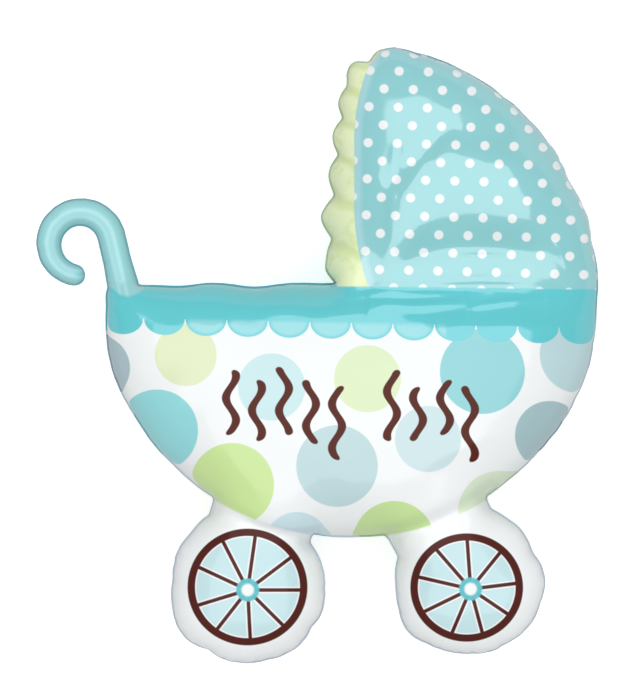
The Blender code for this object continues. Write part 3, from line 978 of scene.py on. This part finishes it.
def print_places():
    """(seen place plus the missing length outwards, the missing length) for each point of a sheet."""
    inwards, total = missing_length()
    near, distance = nearest_on_weld(sheet[:, :2])
    near_step = np.interp(distance, inwards, np.arange(PROFILE_STEPS))
    low = np.minimum(near_step.astype(int), PROFILE_STEPS - 2)
    share = near_step - low
    smooth = np.stack([averaged_round(total[:, k], 2) for k in range(PROFILE_STEPS)], 1)
    extra = (1 - share) * smooth[near, low] + share * smooth[near, low + 1]
    return as_seen(front_sheet) + extra[:, None] * outwards[near], extra


def store_places(name, places):
    """Stores places of the front, the same for the back, and the hem's beyond them.

    The third number is 1 on the front sheet, 0 on the back sheet and one half on the hem's edge.
    """
    edge_places = places[weld] + WELD_WIDTH * outwards
    all_places = np.concatenate([places, places, edge_places])
    front_share = np.concatenate([np.ones(len(flat)), np.zeros(len(flat)), np.full(len(weld), 0.5)])
    stored = foil.data.attributes.new(name, "FLOAT_VECTOR", "POINT")
    rows = np.column_stack([all_places, front_share]).astype(np.float32)
    stored.data.foreach_set("vector", rows.ravel())


places, extra_length = print_places()
store_places("ink_place", places)
store_places("lobe_place", as_seen(front_sheet))
print("longest missing length:", round(float(extra_length.max()), 3), "m")

# %% [markdown]
# ## The camera
#
# The photograph was taken square on to the balloon, from far enough away that its outline shows
# hardly any perspective. The balloon lies on its back here, so the camera hangs above it and looks
# straight down, with a long lens. One pixel of the photograph is worth PIXEL metres on the balloon.

# %% Look straight down
camera = linked("camera", bpy.data.cameras.new("camera"))
camera.data.lens = LENS_MM
camera.data.sensor_width = SENSOR_MM
camera.data.clip_end = 50.0
aim = from_photo(PHOTO_WIDTH / 2, PHOTO_HEIGHT / 2)
camera.location = (aim[0], aim[1], SEAM_HEIGHT + CAMERA_OVER_SEAM)
bpy.context.scene.camera = camera
print("camera", round(camera.location.z, 3), "m above the floor")

# %% [markdown]
# ## Mixing the inks
#
# The print could be an image, but a picture file can't be changed by a number, and dots and bands
# are plain geometry. So the print is drawn by shader nodes: each motif is a mask between 0 and 1, a
# circle or a line with a slightly soft edge, and the inks are laid over each other in the order in
# which a printer would lay them. Pixel places are measured on the photograph and turned into metres.
#
# One call for each sum and product would make long code. So a small class, Wire, stands for a node's
# output, and Python's own signs work on it: written with a Wire, ink_x - 0.1 adds a Math node that
# subtracts. A number may stand in front of the minus sign only, as in 1.0 - mask.

# %% A short way to write shader nodes
def srgb(red, green, blue):
    """A colour in 0..255 as linear light, the form that shaders take."""
    share = np.array([red, green, blue]) / 255.0
    linear = np.where(share <= 0.04045, share / 12.92, ((share + 0.055) / 1.055) ** 2.4)
    return (*linear.tolist(), 1.0)


class Wire:
    """The output of a node in a tree. Without __array_ufunc__ = None, numpy would do its sums."""

    __array_ufunc__ = None

    def __init__(self, tree, output):
        self.tree, self.output = tree, output

    def __add__(self, other):
        return calculate("ADD", self, other)

    def __sub__(self, other):
        return calculate("SUBTRACT", self, other)

    def __rsub__(self, other):
        return calculate("SUBTRACT", other, self)

    def __mul__(self, other):
        return calculate("MULTIPLY", self, other)

    def __truediv__(self, other):
        return calculate("DIVIDE", self, other)

    def __mod__(self, other):
        return calculate("MODULO", self, other)

    def __pow__(self, other):
        return calculate("POWER", self, other)

    def __neg__(self):
        return calculate("MULTIPLY", self, -1.0)

    def __abs__(self):
        return calculate("ABSOLUTE", self)


def feed(socket, value):
    """Puts a number or a colour into a socket, or links a Wire to it."""
    if isinstance(value, Wire):
        value.tree.links.new(value.output, socket)
    else:
        socket.default_value = value


def add_node(tree, kind, values, **settings):
    """A node with its settings made and then its inputs fed, each by its name or its number."""
    node = tree.nodes.new(kind)
    for name, setting in settings.items():
        setattr(node, name, setting)
    for key, value in values.items():
        feed(node.inputs[key], value)
    return node


def calculate(operation, *values):
    """One Math node over wires and numbers."""
    tree = next(value.tree for value in values if isinstance(value, Wire))
    node = add_node(tree, "ShaderNodeMath", dict(enumerate(values)), operation=operation)
    return Wire(tree, node.outputs[0])


print("half grey is", round(srgb(128, 128, 128)[0], 3), "in linear light")


# %% Masks and inks
def ramp(value, start, end):
    """0 before the start, 1 after the end and a smooth step between them."""
    values = {"Value": value, "From Min": start, "From Max": end}
    node = add_node(value.tree, "ShaderNodeMapRange", values, interpolation_type="SMOOTHSTEP")
    return Wire(value.tree, node.outputs["Result"])


def above(value, edge, blur):
    """1 where the value is over the edge."""
    return ramp(value, edge - blur, edge + blur)


def below(value, edge, blur):
    """1 where the value is under the edge."""
    return 1.0 - above(value, edge, blur)


def between(value, low, high, blur):
    """1 where the value is over the low edge and under the high one."""
    return above(value, low, blur) * below(value, high, blur)


def most(first, *others):
    """The greatest of wires and numbers. Of masks it is 1 where any of them is."""
    for other in others:
        first = calculate("MAXIMUM", first, other)
    return first


def length_of(x, y):
    """The root of the sum of both squares."""
    return (x**2.0 + y**2.0) ** 0.5


def distance(x, y, centre, squash=1.0):
    """Distance of a place from a centre, with its upright part stretched by the squash."""
    return length_of(x - centre[0], (y - centre[1]) * squash)


def turned(x, y, degrees):
    """The same place in axes that are turned by so many degrees."""
    cos, sin = math.cos(math.radians(degrees)), math.sin(math.radians(degrees))
    return x * cos + y * sin, y * cos - x * sin


def over(ground, ink, mask, blend="MIX"):
    """The ink laid over the ground where the mask is 1."""
    values = {"Factor": mask, 6: ground, 7: ink}
    node = add_node(mask.tree, "ShaderNodeMix", values, data_type="RGBA", blend_type=blend)
    return Wire(mask.tree, node.outputs[2])


def noise(place, scale, detail):
    """Smooth random values from 0 to 1, which belong to the place in the print."""
    values = {"Vector": place, "Scale": scale, "Detail": detail, "Roughness": 0.5}
    return Wire(place.tree, add_node(place.tree, "ShaderNodeTexNoise", values).outputs[0])


def split(vector):
    """The three numbers of a vector."""
    node = add_node(vector.tree, "ShaderNodeSeparateXYZ", {0: vector})
    return [Wire(vector.tree, output) for output in node.outputs]


def stored(tree, name):
    """The vector that is stored on the points under a name."""
    return Wire(tree, add_node(tree, "ShaderNodeAttribute", {}, attribute_name=name).outputs["Vector"])


def photo_x(x):
    """How far across a column of the photograph lies, in metres."""
    return from_photo(x, 0.0)[0]


def photo_y(y):
    """How far up a row of the photograph lies, in metres."""
    return from_photo(0.0, y)[1]


PAPER_BLUR = 0.55 * PIXEL
printed_foil = bpy.data.materials.new("printed_foil")
printed_foil.use_nodes = True
ink_place = stored(printed_foil.node_tree, "ink_place")
ink_x, ink_y, on_front = split(ink_place)
plan_x, plan_y, _ = split(stored(printed_foil.node_tree, "lobe_place"))
print("material", printed_foil.name, "starts with", len(printed_foil.node_tree.nodes), "nodes")

# %% [markdown]
# ## The body: white foil with big pastel dots
#
# The body is white with discs of lime, aqua and teal. Each disc is a circle about its place, in its
# own ink. Where the two wheels join, the discs end at the body's own edge. Which lobe a point is on
# is read from its seen place, not from its place in the print, so that no lobe's ink runs over onto
# the steep side of its neighbour.

# %% Big dots
WHITE = srgb(246, 249, 249)
# Each dot: its middle and its radius in pixels, and its ink.
BIG_DOTS = (
    (185.7, 355.0, 31.0, srgb(228, 238, 196)),
    (271.7, 387.0, 33.6, srgb(204, 234, 236)),
    (367.5, 378.7, 33.5, srgb(224, 240, 197)),
    (482.4, 371.4, 42.5, srgb(148, 214, 218)),
    (578.6, 354.2, 38.8, srgb(192, 221, 224)),
    (549.5, 435.5, 34.5, srgb(168, 198, 202)),
    (97.0, 368.0, 33.0, srgb(174, 197, 204)),
    (157.0, 430.5, 41.0, srgb(150, 220, 223)),
    (232.0, 485.0, 42.0, srgb(207, 235, 158)),
    (337.0, 466.0, 40.8, srgb(194, 221, 223)),
    (428.0, 439.0, 33.0, srgb(208, 231, 233)),
    (394.0, 542.0, 41.0, srgb(202, 231, 158)),
    (297.0, 545.0, 33.0, srgb(206, 231, 237)),
    (499.0, 512.0, 41.0, srgb(220, 236, 208)),
)
RIM_X, RIM_Y = RIM_MIDDLE
NECK_STRIP_HALF = 0.106


def body_underside():
    """Height of the body's edge under each place, the half ellipse of its keel."""
    left = most(1.0 - ((plan_x - RIM_X) / (BODY_LENGTH / 2)) ** 2.0, 0.0)
    return RIM_Y - BODY_SIDE - left**0.5 * (BODY_DEPTH - BODY_SIDE)


def near_a_wheel():
    """1 in two upright strips over the wheels' necks."""
    gaps = [abs(plan_x - (RIM_X + middle)) for middle in (LEFT_WHEEL_X, RIGHT_WHEEL_X)]
    return most(*(below(gap, NECK_STRIP_HALF, 0.002) for gap in gaps))


colour = WHITE
for dot_x, dot_y, dot_radius, ink in BIG_DOTS:
    from_middle = distance(ink_x, ink_y, from_photo(dot_x, dot_y))
    colour = over(colour, ink, below(from_middle, dot_radius * PIXEL, PAPER_BLUR))
wheel_ground = below(plan_y - body_underside(), 0.0, 0.0015) * near_a_wheel()
colour = over(colour, WHITE, wheel_ground)
print("big dots:", len(BIG_DOTS))

# %% [markdown]
# ## The wheels
#
# A printed wheel is a brown ring, nine spokes, pale panels between them and a turquoise hub with a
# white middle.
# The angle round the hub gives the spokes: the shortest turn to each spoke, times the distance from
# the hub, is how far a point lies beside that spoke. The spokes aren't evenly set, so each wheel has
# the list of its angles.

# %% Two printed wheels
BROWN = srgb(84, 33, 26)
PANEL = srgb(200, 231, 234)
HUB_BLUE = srgb(92, 192, 200)
RING_BREADTH, SPOKE_HALF, PANEL_MARGIN = 7.6 * PIXEL, 1.9 * PIXEL, 1.4 * PIXEL
HUB_RADIUS, HUB_HOLE_RADIUS = 11.5 * PIXEL, 6.2 * PIXEL
# Each wheel: middle of the ring, hub, the ring's half width and half height, angles of the spokes.
WHEEL_PRINTS = (
    ((247.5, 587.0), (247.7, 590.0), 60.0, 58.4, (82, 37, 0, -45, -87, -128, -163, 155, 117)),
    ((466.7, 587.5), (470.6, 589.0), 56.4, 54.2, (94, 51, 7, -34, -75, -113, -154, 167, 131)),
)


def spoke_gap(hub, angles):
    """Distance beside the nearest spoke. Behind the hub a metre is added, so no spoke goes on there."""
    gaps = []
    for angle in angles:
        along, beside = turned(ink_x - hub[0], ink_y - hub[1], angle)
        gaps.append(abs(beside) + calculate("LESS_THAN", along, 0.0))
    nearest = gaps[0]
    for gap in gaps[1:]:
        nearest = calculate("MINIMUM", nearest, gap)
    return nearest


brown_marks = []
for ring, hub, half_width, half_height, angles in WHEEL_PRINTS:
    reach = distance(ink_x, ink_y, from_photo(*ring), half_width / half_height)
    from_hub = distance(ink_x, ink_y, from_photo(*hub))
    gap = spoke_gap(from_photo(*hub), angles)
    outer = half_width * PIXEL
    inner = outer - RING_BREADTH
    beside_spokes = above(gap, SPOKE_HALF + PANEL_MARGIN, PAPER_BLUR)
    panels = below(reach, inner - PANEL_MARGIN, PAPER_BLUR) * beside_spokes
    spokes = below(reach, inner + PANEL_MARGIN, PAPER_BLUR) * below(gap, SPOKE_HALF, PAPER_BLUR)
    brown_marks.append(most(spokes, between(reach, inner, outer, PAPER_BLUR)))
    colour = over(colour, PANEL, panels)
    colour = over(colour, BROWN, brown_marks[-1])
    colour = over(colour, HUB_BLUE, below(from_hub, HUB_RADIUS, 2 * PAPER_BLUR))
    colour = over(colour, WHITE, below(from_hub, HUB_HOLE_RADIUS, 3 * PAPER_BLUR))
print("wheels:", len(WHEEL_PRINTS), "with", len(WHEEL_PRINTS[0][4]), "spokes each")

# %% [markdown]
# ## Brown brush strokes
#
# Two groups of plain wavy brush strokes run across the body, in a brown close to the wheels'. One is
# a band of even width about an upright sine wave, and its ends are round because past them the
# distance is measured to the end of that wave.

# %% Wavy strokes
STROKE_BROWN = srgb(90, 36, 24)
# Each stroke: its place across, its top and its bottom, in pixels.
STROKES = (
    (231.0, 374.0, 431.0),
    (257.0, 384.0, 437.0),
    (284.0, 371.0, 431.0),
    (311.0, 384.0, 440.0),
    (337.0, 390.0, 456.0),
    (392.0, 374.0, 437.0),
    (418.0, 391.0, 437.0),
    (445.0, 384.0, 431.0),
    (470.0, 390.0, 458.0),
)
STROKE_HALF, STROKE_SWING, STROKE_WAVE = 4.2 * PIXEL, 5.0 * PIXEL, 44.0 * PIXEL


def wavy_stroke(x, top, bottom, phase):
    """1 within the stroke's half width of x plus a sine of the height, between top and bottom."""
    turn = (ink_y - photo_y(bottom)) * (2 * math.pi / STROKE_WAVE) + phase
    beside = ink_x - photo_x(x) - calculate("SINE", turn) * STROKE_SWING
    past = most(ink_y - photo_y(top), photo_y(bottom) - ink_y, 0.0)
    return below(length_of(beside, past), STROKE_HALF, PAPER_BLUR)


strokes = most(*(wavy_stroke(*stroke, 0.9 * k) for k, stroke in enumerate(STROKES)))
colour = over(colour, STROKE_BROWN, strokes * above(on_front, 0.7, 0.1))
print("strokes:", len(STROKES))

# %% [markdown]
# ## The turquoise band with its scalloped edge
# A band of strong turquoise runs under the rim and ends in a row of round scallops. Each scallop is
# the lower half of an ellipse, so the row is one ellipse repeated: the place is folded into one pitch
# with the modulo, and measured from that scallop's middle. Most scallops have a painted highlight, a
# lighter belly where the foil mirrors the soft box overhead, on top of the real reflection there.

# %% Band and scallops
BAND = srgb(97, 208, 215)
BAND_HIGHLIGHT, BELLY_HIGHLIGHT_STRENGTH = srgb(172, 230, 235), 0.55
SCALLOP_PITCH = 41.55 * PIXEL
SCALLOP_HALF, SCALLOP_DROP = 20.3 * PIXEL, 16.0 * PIXEL
cusp_left, cusp_right = from_photo(143.6, 318.6), from_photo(558.8, 327.6)
across_band, up_band = cusp_right - cusp_left
under_cusps = (ink_x - cusp_left[0]) * (up_band / across_band) + cusp_left[1] - ink_y


def folded(value, pitch):
    """The value folded to between minus and plus half a pitch. Many pitches more keep it positive."""
    return (value + 40.5 * pitch) % pitch - pitch / 2


def scallop(shrink, blur):
    """1 inside an ellipse under the cusp line, drawn smaller by the shrink."""
    from_middle = folded(ink_x - cusp_left[0] - SCALLOP_PITCH / 2, SCALLOP_PITCH)
    down = most(under_cusps, 0.0) / (SCALLOP_DROP - shrink)
    return below(length_of(from_middle / (SCALLOP_HALF - shrink), down), 1.0, blur / SCALLOP_HALF)


band = most(below(under_cusps, 0.0, PAPER_BLUR), scallop(0.0, PAPER_BLUR))
# Painted highlight: the scallops' bellies are lighter between two columns, where the foil mirrors the
# soft box.
belly_highlights = scallop(2.6 * PIXEL, 3.0 * PIXEL) * above(under_cusps, 0.0, 3.0 * PIXEL)
highlight_stretch = between(ink_x, photo_x(186.0), photo_x(446.0), 2.0 * PIXEL)
colour = over(colour, BAND, band)
colour = over(colour, BAND_HIGHLIGHT, belly_highlights * highlight_stretch * BELLY_HIGHLIGHT_STRENGTH)
print("scallops at a pitch of", round(SCALLOP_PITCH * 1000, 1), "mm")

# %% [markdown]
# ## The hood, its polka dots and the ruffle
#
# Above the band the hood is a softer turquoise with a staggered lattice of small white dots. Folding
# the place into one cell of the lattice twice, once straight and once shifted by half a cell, gives
# both sets of rows. The whole lattice is turned a little, as on the balloon. In front of the hood
# runs the lime ruffle, whose border with the hood bends back at the top and the foot, and a painted
# highlight, a pale strip, runs down the hood beside it, where the foil's rolled edge catches the light.
# The masks of both are cut out by straight or bent lines.

# %% Hood, ruffle and handle
HOOD = srgb(145, 214, 217)
HOOD_FRONT_HIGHLIGHT, FRONT_HIGHLIGHT_STRENGTH = srgb(205, 240, 250), 0.42
RUFFLE, RUFFLE_SHADE = srgb(240, 251, 202), srgb(214, 233, 156)
DOT_PITCH_X, DOT_PITCH_Y, DOT_RADIUS = 29.2 * PIXEL, 36.15 * PIXEL, 4.6 * PIXEL
LATTICE_TURN_DEG = -1.45
LATTICE_AT = from_photo(455.7, 144.9)
RIM_TILT = 0.012


def polka_dots():
    """1 in small discs on two lattices, one shifted by half a cell both ways."""
    across, up = turned(ink_x - LATTICE_AT[0], ink_y - LATTICE_AT[1], LATTICE_TURN_DEG)
    sets = []
    for shift in (0.0, 0.5):
        in_cell_x = folded(across + shift * DOT_PITCH_X, DOT_PITCH_X)
        in_cell_y = folded(up + shift * DOT_PITCH_Y, DOT_PITCH_Y)
        sets.append(below(length_of(in_cell_x, in_cell_y), DOT_RADIUS, 1.5 * PAPER_BLUR))
    return most(*sets)


def squared_past(value, start, span):
    """The square of how far the value is past the start, in spans."""
    return most((value - start) / span, 0.0) ** 2.0


top_bend = squared_past(ink_y, photo_y(139.0), 76.0 * PIXEL) * (15.5 * PIXEL)
foot_bend = squared_past(-ink_y, -photo_y(205.0), 75.0 * PIXEL) * (12.0 * PIXEL)
behind_front = ink_x - (top_bend + foot_bend + photo_x(354.3))
over_rim = plan_y - ((photo_x(352.0) - plan_x) * RIM_TILT + photo_y(286.5))
right_of_hinge = above(plan_x, photo_x(337.0), PAPER_BLUR)
over_ruffle_foot = above(plan_y, photo_y(281.5), PAPER_BLUR)
over_band = above(over_rim, 0.0, 1.3 * PIXEL) * most(right_of_hinge, over_ruffle_foot)
over_band_right = over_band * above(plan_x, photo_x(205.0), PAPER_BLUR)
hood = over_band_right * above(behind_front, 0.0, PAPER_BLUR)
ruffle = over_band_right * below(behind_front, 0.0, PAPER_BLUR)
# Painted highlight: a pale strip down the hood beside the ruffle, where the foil's rolled edge catches
# the light.
front_highlight = hood * below(behind_front, 7.0 * PIXEL, 3.5 * PIXEL)
small_dots = polka_dots()
hood_ink_and_highlight = over(HOOD, HOOD_FRONT_HIGHLIGHT, front_highlight * FRONT_HIGHLIGHT_STRENGTH)
colour = over(colour, over(hood_ink_and_highlight, WHITE, small_dots), hood)
print("polka dots every", round(DOT_PITCH_X * 1000, 1), "mm")


# %% The ruffle's shaded gathers
def near_gathers():
    """1 beside the lines that run inwards from the ruffle's notches, bent a little by noise."""
    share = most(1.0 - (ink_y - RIM_Y) / RUFFLE_HEIGHT, 0.0)
    phase = share**RUFFLE_SPREAD * RUFFLE_SCALLOPS - (ink_x - RIM_X + GATHER_START) * GATHER_SLANT
    bent = phase + (noise(ink_place, 24.0, 2.0) - 0.5) * 0.7
    return below(abs(calculate("SINE", bent * math.pi)), 0.42, 0.30)


# Painted shade: the lime is darker along the gathers, where their valleys lie in shade, and in a random
# mottle.
mottle = ramp(noise(ink_place, 60.0, 3.0), 0.50, 0.66)
ruffle_shade = most(near_gathers(), mottle * 0.7) * 0.62
colour = over(colour, over(RUFFLE, RUFFLE_SHADE, ruffle_shade), ruffle)
print("gathers of the ruffle:", RUFFLE_SCALLOPS)

# %% [markdown]
# ## The handle's streaks and the hem's shade
#
# Two pale lines run along the handle, where the real foil's folds catch the light. The points of this
# mesh are too far apart for folds as fine as those, so the lines are painted highlights: the distance
# beside the stem's line, and past the stem the distance outside the hook's circle, says where they
# lie. The hem gets painted shade for the same reason. Two films lie on each other there and look
# darker and greyer, and the rest of its darkness stands in for the shade of the balloon's edge.

# %% Painted highlights along the handle and painted shade on the hem
HANDLE, HANDLE_STREAK = srgb(155, 217, 219), srgb(174, 226, 229)
STREAKS = ((-0.0080, -0.0045), (0.0005, 0.0050))
ROOT_X, ROOT_HALF, ROOT_DIP = photo_x(128.0), 17.0 * PIXEL, 9.0 * PIXEL
HEM_SHADE = (0.56, 0.62, 0.70, 1.0)


def on_handle():
    """1 on the handle, over a border with the band that bows downwards at the handle's root."""
    over_root = plan_y + most(1.0 - ((plan_x - ROOT_X) / ROOT_HALF) ** 2.0, 0.0) * ROOT_DIP
    return above(over_root, photo_y(287.0), 2.5 * PIXEL) * below(plan_x, photo_x(150.0), PAPER_BLUR)


def handle_streaks():
    """1 on lines along the handle: the distance from its stem's line, or from the hook's circle."""
    root = HANDLE_ROOT + RIM_MIDDLE
    hook_middle = root + HANDLE_STEM * HANDLE_UP + HOOK_RADIUS * HANDLE_SIDE
    beside, up = turned(plan_x - root[0], plan_y - root[1], HANDLE_LEAN_DEG)
    outside = distance(plan_x, plan_y, hook_middle) - HOOK_RADIUS
    on_stem = below(up, HANDLE_STEM, 0.001) * above(beside, -HOOK_RADIUS, 0.001)
    from_line = outside + on_stem * (beside - outside)
    return most(*(between(from_line, low, high, 0.0018) for low, high in STREAKS))


handle = on_handle()
colour = over(colour, HANDLE, handle)
# Painted highlights: two pale lines where the handle's fine folds catch the light.
colour = over(colour, HANDLE_STREAK, handle * handle_streaks())
# Painted shade on the hem: partly the two films' own grey, partly the shade of the balloon's edge.
colour = over(colour, HEM_SHADE, between(on_front, 0.07, 0.93, 0.05), "MULTIPLY")
print("streaks:", len(STREAKS))

# %% [markdown]
# ## The foil under the ink
#
# The foil shines through the thin turquoise inks and hardly at all through the opaque white and the
# pastels. It could be a metal under a colour, but a metal gives its own colour to what it mirrors, and
# the pale patches came out too strong. So the shine is the Principled shader's coat, a clear film
# whose high index mirrors as strongly as thin ink over metal does, and the coat is weaker over the
# opaque inks. A fine crinkle bends the reflections a little, as on any foil that was once folded.

# %% Finish of the foil
COAT_LEAST, COAT_THIN_INK, COAT_BROWN = 0.28, 0.66, 0.22
hood_shows = hood * (1.0 - small_dots * 0.75)
band_shows = band * below(over_band, 0.5, 0.4) * 0.58
show_through = most(hood_shows, handle * 0.02, band_shows)
brown = most(strokes, *brown_marks)
crinkle = {"Strength": 0.20, "Distance": 0.0005, "Height": noise(ink_place, 70.0, 2.0)}
bump = add_node(printed_foil.node_tree, "ShaderNodeBump", crinkle)
crinkled = Wire(printed_foil.node_tree, bump.outputs["Normal"])
finish = {
    "Base Color": colour,
    "Coat Weight": show_through * COAT_THIN_INK + COAT_LEAST - brown * COAT_BROWN,
    "Roughness": 0.34,
    "Specular IOR Level": 0.12,
    "Coat IOR": 2.05,
    "Coat Roughness": 0.07,
    "Normal": crinkled,
    "Coat Normal": crinkled,
}
for socket, value in finish.items():
    feed(printed_foil.node_tree.nodes["Principled BSDF"].inputs[socket], value)
foil.data.materials.append(printed_foil)
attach(foil, "root")
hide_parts("foil_balloon")
print("nodes in the print:", len(printed_foil.node_tree.nodes))

# %% [markdown]
# ## Floor and light
#
# The photograph's ground is plain white, yet the balloon's edges are grey, so what stood round the
# balloon was darker than its ground. The floor is therefore a pale board that only the camera sees:
# it throws no light on the foil. The light comes from a sky drawn by nodes: one large square soft box
# overhead, dim walls beside it and a grey ground below. Foil mirrors it, so the soft box decides
# where the pale patches end on each lobe: at the tilt at which the foil mirrors the box's edge.

# %% Floor
FLOOR_HALF = 12.0
PALE_BOARD = {
    "Base Color": srgb(246, 246, 246),
    "Roughness": 0.9,
    "Specular IOR Level": 0.0,
    "Emission Color": (1.0, 1.0, 1.0, 1.0),
    "Emission Strength": 0.40,
}
pale_board = bpy.data.materials.new("pale_board")
pale_board.use_nodes = True
for socket, value in PALE_BOARD.items():
    feed(pale_board.node_tree.nodes["Principled BSDF"].inputs[socket], value)
corners = FLOOR_HALF * np.array([(-1.0, -1.0, 0.0), (1.0, -1.0, 0.0), (1.0, 1.0, 0.0), (-1.0, 1.0, 0.0)])
floor = linked("floor", mesh_from("floor", corners, np.array([[0, 1, 2, 3]]), np.zeros((0, 3), int)))
floor.data.materials.append(pale_board)
floor.visible_diffuse = False
floor.visible_glossy = False
floor.visible_shadow = False
print("floor:", 2 * FLOOR_HALF, "m square")

# %% A sky with one square soft box
BOX_LIGHT, WALL_LIGHT, GROUND_LIGHT = 1.74, 0.34, 0.70
BOX_REACH, BOX_LEAN = (0.86, 0.96), (0.04, 0.17)


def studio_sky():
    """The direction's run over its rise, sideways and upwards, says whether it meets the box."""
    world = bpy.data.worlds.new("studio")
    world.use_nodes = True
    tree = world.node_tree
    x, y, z = split(Wire(tree, add_node(tree, "ShaderNodeTexCoord", {}).outputs["Generated"]))
    over_ground = above(z, 0.0, 0.10)
    in_box = over_ground
    for run, reach, lean in zip((x, y), BOX_REACH, BOX_LEAN):
        in_box = in_box * below(abs(run / most(z, 0.01) - lean), reach, 0.05)
    walls = over_ground * (WALL_LIGHT - GROUND_LIGHT) + GROUND_LIGHT
    background = tree.nodes["Background"]
    background.inputs["Color"].default_value = (0.985, 0.99, 1.0, 1.0)
    feed(background.inputs["Strength"], walls + in_box * (BOX_LIGHT - WALL_LIGHT))
    return world


bpy.context.scene.world = studio_sky()
bpy.context.scene.view_settings.view_transform = "Standard"
print("sky: box", BOX_LIGHT, "walls", WALL_LIGHT, "ground", GROUND_LIGHT)
